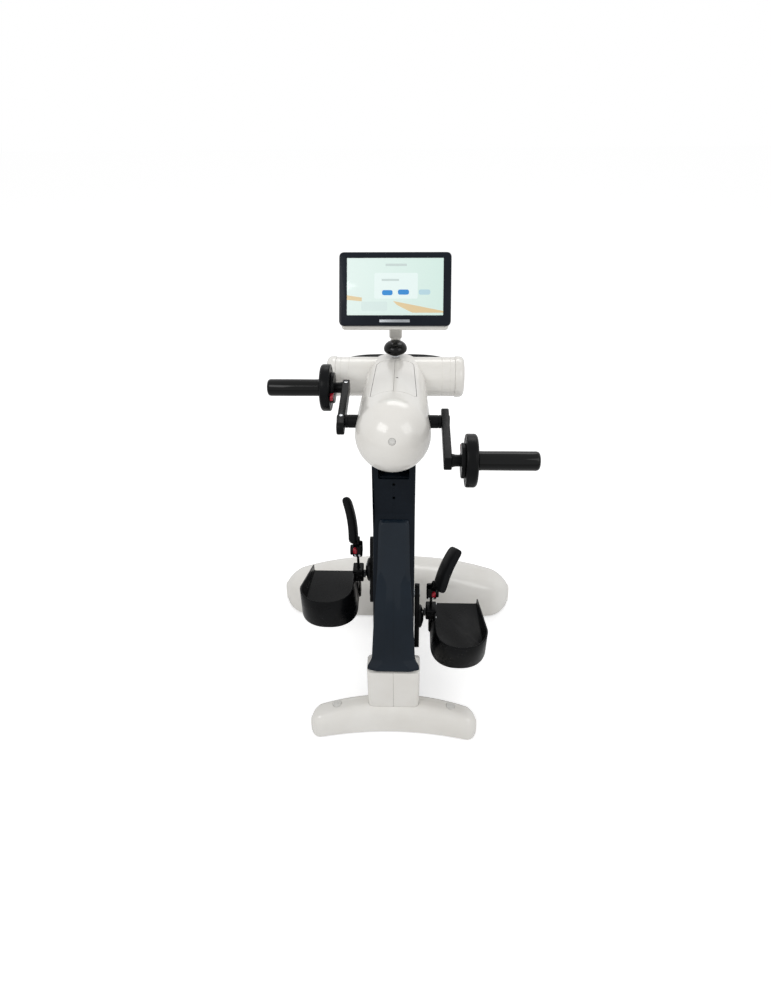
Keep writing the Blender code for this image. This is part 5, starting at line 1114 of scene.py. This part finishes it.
legs = {
    "y": column["axleY"], "z": column["axleZ"], "tilt": 24.9, "radius": 0.049, "inner": 0.0495,
    "thickness": 0.012, "long": 0.1443, "short": 0.0248, "half": 0.0135, "pin": 0.0055, "pinEnd": 0.100,
    "holes": (0.104, 0.124), "shaft": 0.010, "discOffset": 0.0116, "discRadius": 0.029,
    "discThickness": 0.0105, "sleeve": 0.0088,
}
pedal = {
    "width": 0.138, "inner": 0.089, "toe": 0.0724, "toeTaper": 0.012, "heel": -0.124, "sole": -0.0592,
    "wallHeight": 0.0773, "soleThickness": 0.004, "wall": 0.0035, "lean": 0.009, "slopeStart": -0.080,
    "toeWall": 0.0192, "slotStart": -0.016, "slotLength": 0.036, "slotHeight": 0.007, "slotZ": -0.040,
    "bracketIn": 0.077, "bracketOut": 0.103, "bracketHalf": 0.016, "bracketTop": 0.023,
    "bracketBottom": -0.013, "plate": 0.0032, "rightTilt": 7.0, "armX": 0.0895, "rod": 0.0032,
    "blockLow": 0.0658, "blockHigh": 0.0982, "blockWidth": 0.024, "blockDepth": 0.028, "pivot": 0.089,
    "padLength": 0.108, "padThickness": 0.023, "padWidth": 0.072, "padBend": 0.275, "padTurn": 43.0,
    "padShift": 0.030, "padDrop": 0.006, "padOut": 0.008, "leanLeft": -1.0, "leanRight": 16.0,
    "buttonWidth": 0.009, "buttonHeight": 0.017, "buttonZ": 0.0885, "buttonOffset": 0.005, "knobZ": 0.0785,
    "knobRadius": 0.0125, "knobThickness": 0.006, "forkHalf": 0.0068, "padLift": 0.016,
}


def pedalPlace(side):
    angle = radians(90 - legs["tilt"])
    return (legs["y"] - side * legs["radius"] * cos(angle), legs["z"] - side * legs["radius"] * sin(angle))


def makeLegCranks(v):
    for side, word, tail in bothSides:
        y, z = pedalPlace(side)
        angle = atan2(z - v["z"], y - v["y"])
        outer = v["inner"] + v["thickness"]
        shape = arc((v["long"] - v["half"], 0), v["half"], -90, 90, 24)
        shape += arc((-v["short"] + v["half"], 0), v["half"], 90, 270, 24)
        bar = slab(alongBar((v["y"], v["z"]), angle, shape), *span(side, v["inner"], outer), edge=0.0015,
            segments=4)
        carveRelief(bar, side, outer, 0.0015, (v["y"], v["z"]), angle, v["radius"] + 0.046,
            v["long"] - 0.007, 0.0078, 0.007)
        carve(bar, crossRod(v["shaft"] + fitGap, 0.1, v["y"], v["z"]))
        for reach in v["holes"]:
            spot = (v["y"] + reach * cos(angle), v["z"] + reach * sin(angle))
            carve(bar, crossRod(v["pin"], 0.1, *spot, 32))
        # conical clamp boss that holds the pedal's pin
        reach = v["radius"] + v["discOffset"]
        centre = (side * outer, v["y"] + reach * cos(angle), v["z"] + reach * sin(angle))
        r, t = v["discRadius"], v["discThickness"]
        boss = turnOnLathe([(0, t), (0.0105, t), (0.0117, t - 0.0003), (r - 0.0040, t * 0.58),
            (r - 0.0028, t * 0.53), (r - 0.0008, t * 0.36), (r - 0.0001, t * 0.30), (r, t * 0.24),
            (r, -0.002), (0, -0.002)], centre, (side, 0, 0), 72)
        pin = rod(v["pin"], (side * (outer - 0.004), y, z), (side * v["pinEnd"], y, z), 0.0008, 40)
        finishPiece(weld(bar, boss, pin), "legCrank" + word, blackNylon, "leg_cranks",
            "leg_crank" + tail)
        cap = turnOnLathe([(0, 0.0022), (0.006, 0.0022), (0.0085, 0.0016), (0.0095, 0.0006), (0.0095, 0.0),
            (0, 0.0)], (side * (v["inner"] + 0.0081), v["y"], v["z"]), (side, 0, 0), 48)
        finishPiece(cap, "axleCap" + word, blackNylon, "leg_cranks")
        # chromed clamp bolt on the boss's upper flank
        way = Vector((side * 0.75, -sin(angle) * 0.25, 0.66)).normalized()
        spot = Vector(centre) + Vector((side * (t * 0.60), -0.004, 0.0205))
        addScrew("clampBolt" + word, "leg_cranks", spot, way, 0.0036, 0.0016)


def makeHub(v, side, word, tail, y, z):
    start = v["inner"] + v["thickness"] + v["discThickness"] + fitGap
    end = v["pinEnd"] - 0.001 - start
    step = pedal["bracketIn"] - 0.001 - start
    s, bore = v["sleeve"], v["pin"] + fitGap
    hub = turnOnLathe([(bore, end), (s - 0.0006, end), (s, end - 0.0006), (s, step), (s + 0.0007, step),
        (s + 0.001, step - 0.0003), (s + 0.001, 0.0003), (s + 0.0007, 0.0), (bore, 0.0)],
        (side * start, y, z), (side, 0, 0), 56, True)
    finishPiece(hub, "pedalHub" + word, frameCoat, "pedal_hub" + tail, "pedal_hub" + tail)


def tiltOf(side):
    y, z = pedalPlace(side)
    angle = radians(pedal["rightTilt"]) if side == 1 else 0.0
    return turnAbout((0, y, z), angle, "X")


def makeBracket(v, side, word, tail, y, z):
    low, high = span(side, v["bracketIn"], v["bracketOut"])
    half = v["bracketHalf"]
    body = block((low, y - half, z + v["bracketBottom"]), (high, y + half, z + v["bracketTop"]), 0.003, 4)
    under = v["sole"] - v["soleThickness"] - 0.005
    outer, webHalf = v["inner"] - fitGap, half - 0.0045
    low, high = span(side, outer - v["plate"], outer)
    web = block((low, y - webHalf, z + under + 0.001), (high, y + webHalf, z + v["bracketBottom"] + 0.006),
        0.0005, 2)
    low, high = span(side, outer - v["plate"] / 2, v["inner"] + v["width"] * 0.6)
    shelf = block((low, y - webHalf - 0.002, z + under), (high, y + webHalf + 0.002, z + under + 0.0047),
        0.0008, 2)
    carve(body, web, shelf, how="UNION")
    carve(body, rod(legs["sleeve"] + fitGap, (side * 0.05, y, z), (side * 0.15, y, z)),
        rod(v["rod"] + fitGap, (side * v["armX"], y, z + v["bracketTop"] - 0.012),
        (side * v["armX"], y, z + v["bracketTop"] + 0.01), 0, 32))
    # a shallow step across the front and back, and a rib on the outer side
    for face in (-1, 1):
        edge = y + face * half
        low, high = span(side, v["bracketIn"] + 0.0035, v["bracketOut"] - 0.0035)
        near, far = sorted((edge - face * 0.0013, edge + face * 0.01))
        carve(body, block((low, near, z - 0.0085), (high, far, z + 0.0070), 0.0006, 2),
            block((low, near, z + 0.0105), (high, far, z + 0.0185), 0.0006, 2))
    turnPiece(body, tiltOf(side))
    name = "pedal" + tail
    finishPiece(body, "pedalBracket" + word, blackNylon, name, "pedal_bracket" + tail)
    for number, (dy, dz) in enumerate(((-0.0115, -0.0085), (0.0115, 0.0170))):
        spot = tiltOf(side) @ Vector((side * (v["bracketOut"] - 0.0002), y + dy, z + dz))
        addScrew("bracketScrew%s%d" % (word, number + 1), name, spot, (side, 0, 0), 0.0024, 0.0014)


def cupPlan(v, side, y, inset, lean=0.0, longer=0.0, count=44):
    # near-straight sides, open toe, round heel; lean draws the inner wall and the heel in with height
    inner = v["inner"] + inset + lean
    outer = v["inner"] + v["width"] - inset
    middle, half = (inner + outer) / 2, (outer - inner) / 2
    heel = y + v["heel"] + inset + lean * 0.5
    depth = half * 0.95
    toe = y + v["toe"] + longer
    taper = v["toeTaper"] * (toe - heel) / (v["toe"] - v["heel"])
    points = [(side * (outer - taper), toe)]
    for i in range(count + 1):
        angle = pi * i / count
        u = power(cos(angle), 2 / 2.3)
        w = sin(angle) ** (2 / 2.3) if 0 < i < count else 0.0
        points.append((side * (middle + half * u), heel + depth - depth * w))
    points.append((side * inner, toe))
    return points


def makeCup(v, side, word, tail, y, z):
    floor = z + v["sole"]
    low, high = floor - v["soleThickness"], floor + v["wallHeight"]

    def level(height, inset, longer):
        lean = v["lean"] * max(0.0, height - floor) / v["wallHeight"]
        return alongAxis("Z", cupPlan(v, side, y, inset, lean, longer), height)

    # outer skin in levels, so that the foot of the wall is rounded
    outside = [(low, 0.0034), (low + 0.0010, 0.0016), (low + 0.0026, 0.0004), (low + 0.0050, 0.0),
        ((low + high) / 2, 0.0), (high - 0.0010, 0.0), (high - 0.0003, 0.0003), (high, 0.0009)]
    cup = wrapSheet([level(height, inset, 0.0) for height, inset in outside])
    inside = [(floor, 0.0062), (floor + 0.0012, 0.0045), (floor + 0.0032, v["wall"]),
        ((low + high) / 2, v["wall"]), (high - 0.0008, v["wall"]), (high, v["wall"] - 0.0008),
        (high + 0.01, v["wall"] - 0.0008)]
    carve(cup, wrapSheet([level(height, inset, 0.02) for height, inset in inside]))
    toe = y + v["toe"]
    near, far = span(side, v["inner"] - 0.01, v["bracketOut"] + 0.001)
    bottom = z + v["bracketBottom"]
    notch = [(y - v["bracketHalf"] - 0.002, bottom - 0.0003), (toe * 0.5 + y * 0.5, floor + 0.014),
        (toe + 0.01, floor + 0.010), (toe + 0.01, high + 0.01), (y - v["bracketHalf"] - 0.002, high + 0.01)]
    carve(cup, slab(roundCorners(notch, [0.003, 0.02, 0, 0, 0], 6), near, far))
    outer = v["inner"] + v["width"]
    near, far = span(side, outer - v["toeTaper"] - 0.008, outer + 0.01)
    slope = [(y + v["slopeStart"], high + 0.001), (toe + 0.01, high + 0.001),
        (toe + 0.01, floor + v["toeWall"]), (toe, floor + v["toeWall"])]
    carve(cup, slab(slope, near, far))
    start, end = y + v["slotStart"], y + v["slotStart"] + v["slotLength"]
    bottom, top = z + v["slotZ"] - v["slotHeight"] / 2, z + v["slotZ"] + v["slotHeight"] / 2
    slot = roundCorners(rectangle(start, bottom, end, top), v["slotHeight"] * 0.45, 6)
    carve(cup, slab(slot, near, far))
    roundEdges(cup, 0.0005, 2, 60)
    turnPiece(cup, tiltOf(side))
    finishPiece(cup, "footCup" + word, blackNylon, "pedal" + tail, "pedal_cup" + tail)


def makeCalfArm(v, side, word, tail, y, z):
    x = side * v["armX"]
    halfW, halfD = v["blockWidth"] / 2, v["blockDepth"] / 2
    arm = block((x - halfW, y - halfD, z + v["blockLow"]), (x + halfW, y + halfD, z + v["blockHigh"]),
        0.004, 5)
    fork = v["forkHalf"]
    carve(arm, block((x - 0.02, y - fork, z + v["pivot"] - 0.013),
        (x + 0.02, y + fork, z + v["blockHigh"] + 0.01), 0))
    buttonX, buttonZ = x + side * v["buttonOffset"], z + v["buttonZ"]

    def buttonOutline(grow):
        half, lift = v["buttonWidth"] / 2, (v["buttonHeight"] - v["buttonWidth"]) / 2
        upper = arc((buttonX, buttonZ + lift), half + grow, 0, 180, 16)
        return upper + arc((buttonX, buttonZ - lift), half + grow, 180, 360, 16)

    carve(arm, slab(buttonOutline(fitGap), y - halfD - 0.01, y - fork + 0.0005, "Y"))
    # clamp knob on the outer side, with a raised rim
    k, t = v["knobRadius"], v["knobThickness"]
    knob = turnOnLathe([(0, t - 0.0014), (k * 0.55, t - 0.0014), (k * 0.62, t - 0.0002), (k - 0.0016, t),
        (k - 0.0005, t - 0.0005), (k, t - 0.0016), (k, 0.0006), (k - 0.0006, 0.0), (0, 0.0)],
        (x + side * (halfW - 0.0005), y, z + v["knobZ"]), (side, 0, 0), 64)
    stem = rod(v["rod"], (x, y, z + v["bracketTop"] - 0.0115), (x, y, z + v["blockLow"] + 0.004), 0, 32)
    collarRing = turnOnLathe([(0.0032, 0.0016), (0.0048, 0.0016), (0.0052, 0.0012), (0.0052, 0.0),
        (0.0032, 0.0)], (x, y, z + v["bracketTop"] + 0.0004), (0, 0, 1), 40, True)
    arm = weld(arm, knob, stem, collarRing)
    turnPiece(arm, tiltOf(side))
    body = "pedal" + tail
    finishPiece(arm, "calfArm" + word, blackNylon, body, "calf_arm" + tail)
    for number, dx in enumerate((-0.0062, 0.0045)):
        spot = tiltOf(side) @ Vector((x + dx, y - halfD + 0.0002, z + v["blockLow"] + 0.0072))
        way = tiltOf(side).to_3x3() @ Vector((0, -1, 0))
        addScrew("calfScrew%s%d" % (word, number + 1), body, spot, way, 0.0029, 0.0016)
    button = slab(buttonOutline(0.0), y - halfD - 0.0042, y - fork - 0.003, "Y", 0.0012, 4, 60)
    turnPiece(button, tiltOf(side))
    finishPiece(button, "calfButton" + word, red, "calf_button" + tail,
        "calf_button" + tail, 40)


def makeCalfPad(v, side, word, tail, y, z):
    # foam pad that bends outwards with height and leans back along the shin, rolled edges
    pivotZ = z + v["pivot"]
    radius = v["padBend"]
    slope = radians(v["padTurn"])
    start = pivotZ + v["padLift"]
    rings = []
    count = 36
    for i in range(count + 1):
        share = i / count
        bend = share * v["padLength"] / radius
        normal = Vector((cos(bend), 0, -sin(bend)))
        centre = Vector((radius * (1 - cos(bend)), 0, radius * sin(bend)))
        near = min(share, 1 - share) * v["padLength"]
        shrink = min(1.0, sqrt(max(0.0, 1 - (1 - min(1.0, near / 0.012)) ** 2)) * 0.45 + 0.55)
        thick = v["padThickness"] / 2 * shrink
        wide = v["padWidth"] / 2 * (0.80 + 0.20 * min(1.0, sqrt(min(1.0, near / 0.02))))
        ring = []
        for k in range(40):
            angle = 2 * pi * k / 40
            u = power(cos(angle), 0.55) * thick
            w = power(sin(angle), 0.62) * wide
            hollow = 0.0022 * (1 - (w / wide) ** 2) * (1 if u > 0 else 0)
            spot = centre + normal * (u - hollow)
            along, across = spot.z - v["padDrop"], w - v["padShift"]
            ring.append((side * (v["armX"] + v["padOut"] + spot.x),
                y + across * cos(slope) + along * sin(slope),
                start - across * sin(slope) + along * cos(slope)))
        rings.append(ring)
    pad = wrapSheet(rings)
    x = side * v["armX"]
    lug = block((x - 0.006, y - 0.0065, pivotZ - 0.008), (x + 0.006, y + 0.0065, start + 0.012), 0.0025, 4)
    lean = radians(side * (v["leanRight"] if side == 1 else v["leanLeft"]))
    turn = turnAbout((x, y, pivotZ), lean, "Y")
    for piece in (pad, lug):
        turnPiece(piece, tiltOf(side) @ turn)
    body = "calf_support" + tail
    finishPiece(pad, "calfPad" + word, foamSkin, body, "calf_pad" + tail, 60)
    finishPiece(lug, "calfLug" + word, blackNylon, body)


print("leg cranks, cups and calf supports")
makeLegCranks(legs)
for side, word, tail in bothSides:
    y, z = pedalPlace(side)
    makeHub(legs, side, word, tail, y, z)
    for make in (makeBracket, makeCup, makeCalfArm, makeCalfPad):
        make(pedal, side, word, tail, y, z)

display = {
    "y": 0.1336, "z": 0.9774, "tilt": 34.0, "width": 0.232, "height": 0.150, "bezel": 0.010, "back": 0.018,
    "screenWidth": 0.1995, "screenHeight": 0.1165, "screenLift": 0.0045, "corner": 0.011, "glass": 0.002,
    "stalkY": head["stalkY"], "stalkHalfWidth": 0.014, "stalkHalfDepth": 0.010, "stalkBottom": 0.850,
    "seat": head["stalkSeat"], "hingeZ": 0.9348, "pin": 0.003, "neck": 0.011, "spigot": 0.009, "vents": 7,
    "ventStart": -0.045, "ventStep": 0.015, "stripLow": (-0.032, -0.0004, -0.0685),
    "stripHigh": (0.031, 0.001, -0.0625), "glow": 0.2,
}


def displayPlace(v):
    return Matrix.Translation((0, v["y"], v["z"])) @ Matrix.Rotation(radians(-v["tilt"]), 4, "X")


def roundedPanel(half, rise, depthLow, depthHigh, corner, edge, liftZ=0.0):
    corners = rectangle(-half, liftZ - rise, half, liftZ + rise)
    return slab(roundCorners(corners, corner, 8), depthLow, depthHigh, "Y", edge, 3, 30)


def makeDisplay(v):
    place = displayPlace(v)
    halfW, halfH = v["width"] / 2, v["height"] / 2
    bezel = roundedPanel(halfW, halfH, 0.0, v["bezel"], v["corner"], 0.0018)
    halfS = v["screenWidth"] / 2
    low, high = v["screenLift"] - v["screenHeight"] / 2, v["screenLift"] + v["screenHeight"] / 2
    carve(bezel, block((-halfS - fitGap, -0.01, low - fitGap), (halfS + fitGap, v["glass"] + 0.0008,
        high + fitGap), 0))
    turnPiece(bezel, place)
    finishPiece(bezel, "displayBezel", bezelAbs, "display", "display_bezel")
    # the housing shows as a pale rim below the bezel
    inset, drop = 0.004, 0.0045
    back = roundedPanel(halfW - inset, halfH - inset + drop, v["bezel"] + fitGap, v["bezel"] + v["back"],
        0.008, 0.006, -drop)
    hinge = place.inverted() @ Vector((0, v["stalkY"], v["hingeZ"]))
    backEnd = v["bezel"] + v["back"]
    ears = []
    for side in (-1, 1):
        low, high = span(side, v["stalkHalfWidth"] + fitGap, v["stalkHalfWidth"] + 0.0063)
        ears.append(block((low, backEnd - 0.004, hinge.z - 0.009), (high, hinge.y + 0.008, hinge.z + 0.009),
            0.0022, 4))
    pin = crossRod(v["pin"], v["stalkHalfWidth"] + 0.003, hinge.y, hinge.z)
    vents = []
    for k in range(v["vents"]):
        x = v["ventStart"] + k * v["ventStep"]
        vents.append(block((x - 0.005, backEnd - 0.0012, 0.038), (x + 0.005, backEnd + 0.01, 0.0405),
            0.0008, 2))
    carve(back, *vents)
    back = weld(back, pin, *ears)
    turnPiece(back, place)
    finishPiece(back, "displayBack", whiteAbs, "display", "display_back")


screen = {
    "ground": ("#DCEBE6", "#CDE3DB"), "card": ("#E2EFEC", "#DEECE9"), "pill": ("#2F8AD0", "#2A7EC4"),
    "palePill": ("#B4D3DC", "#AECDD7"), "bar": ("#C4D2CF", "#BECCC9"), "tan": ("#DCC79E", "#D6BE92"),
    "sky": ("#D3E3DF", "#CBDDD9"),
}


def makeScreen(v, colours):
    # a plain made-up menu: a card with three buttons on a pale ground
    place = displayPlace(v)
    low = v["screenLift"] - v["screenHeight"] / 2
    halfS, halfR = v["screenWidth"] / 2, v["screenHeight"] / 2
    glass = roundedPanel(halfS, halfR, 0.0005, v["glass"] + 0.0005, 0.0006, 0.0002, v["screenLift"])
    turnPiece(glass, place)
    ground = litScreen("litScreenGround", *colours["ground"], v["glow"])
    finishPiece(glass, "screenGlass", ground, "display", "screen_glass", 30)

    def patch(name, corners, radius, colour, layer):
        # corners are shares of the screen's width and height, from its lower left
        points = [(-halfS + u * v["screenWidth"], low + w * v["screenHeight"]) for u, w in corners]
        shape = roundCorners(points, radius, 6) if radius else points
        piece = slab(shape, 0.0005 - 0.00006 * layer, 0.0006, "Y")
        turnPiece(piece, place)
        finishPiece(piece, name, litScreen("lit" + name[0].upper() + name[1:], *colours[colour], v["glow"]),
            "display")

    patch("screenSkyPanel", rectangle(0.15, 0.08, 0.42, 0.24), 0.004, "sky", 1)
    patch("screenTanBandLeft", [(0.0, 0.35), (0.0, 0.27), (0.155, 0.245), (0.155, 0.31)], 0, "tan", 2)
    patch("screenTanBandRight", [(0.48, 0.25), (0.52, 0.18), (0.68, 0.045), (1.0, 0.045), (1.0, 0.075)], 0,
        "tan", 2)
    patch("screenCard", rectangle(0.285, 0.29, 0.735, 0.74), 0.004, "card", 2)
    patch("screenBarOne", rectangle(0.36, 0.60, 0.54, 0.635), 0, "bar", 3)
    patch("screenBarTwo", rectangle(0.40, 0.86, 0.62, 0.90), 0, "bar", 2)
    patch("screenPillOne", rectangle(0.365, 0.35, 0.475, 0.44), 0.0046, "pill", 3)
    patch("screenPillTwo", rectangle(0.53, 0.36, 0.645, 0.45), 0.0046, "pill", 3)
    patch("screenPillThree", rectangle(0.745, 0.36, 0.865, 0.45), 0.0046, "palePill", 3)
    strip = block(v["stripLow"], v["stripHigh"], 0.0003, 2)
    turnPiece(strip, place)
    finishPiece(strip, "bezelStrip", castAlloy, "display")


def makeStalk(v):
    y, halfD = v["stalkY"], v["stalkHalfDepth"]
    side = [(y - halfD, v["stalkBottom"]), (y + halfD, v["stalkBottom"])]
    side += arc((y, v["hingeZ"]), halfD, 0, 180, 24)
    stalk = slab(side, -v["stalkHalfWidth"], v["stalkHalfWidth"], edge=0.004, segments=5)
    carve(stalk, crossRod(v["pin"] + fitGap, 0.1, y, v["hingeZ"], 24))
    foot = rod(v["neck"], (0, y, v["seat"] + fitGap), (0, y, v["stalkBottom"] + 0.004), 0.001)
    spigot = rod(v["spigot"], (0, y, v["seat"] - 0.0135), (0, y, v["seat"] + 0.003), 0.001)
    finishPiece(weld(stalk, foot, spigot), "displayStalk", whiteAbs, "display_stalk",
        "display_stalk")


print("display")
makeDisplay(display)
makeScreen(display, screen)
makeStalk(display)
bpy.data.objects.remove(largeScrew, do_unlink=True)

plainFinish = {
    "base_frame": frameCoat, "column_frame": frameCoat, "front_pad": rubber, "rear_pad": rubber,
    "transport_wheel_left": rubber, "transport_wheel_right": rubber, "leg_motor": castAlloy,
    "motor_pulley": brightSteel, "drive_belt": beltRubber, "crank_pulley": castAlloy,
    "leg_shaft": brightSteel, "leg_bearing_left": brightSteel, "leg_bearing_right": brightSteel,
    "head_post": brightSteel, "arm_motor": castAlloy,
}


def dressPlainSolids(finishes):
    for name, material in finishes.items():
        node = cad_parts[name]
        node.data.materials.clear()
        node.data.materials.append(material)


print("inner solids")
dressPlainSolids(plainFinish)

print("done")
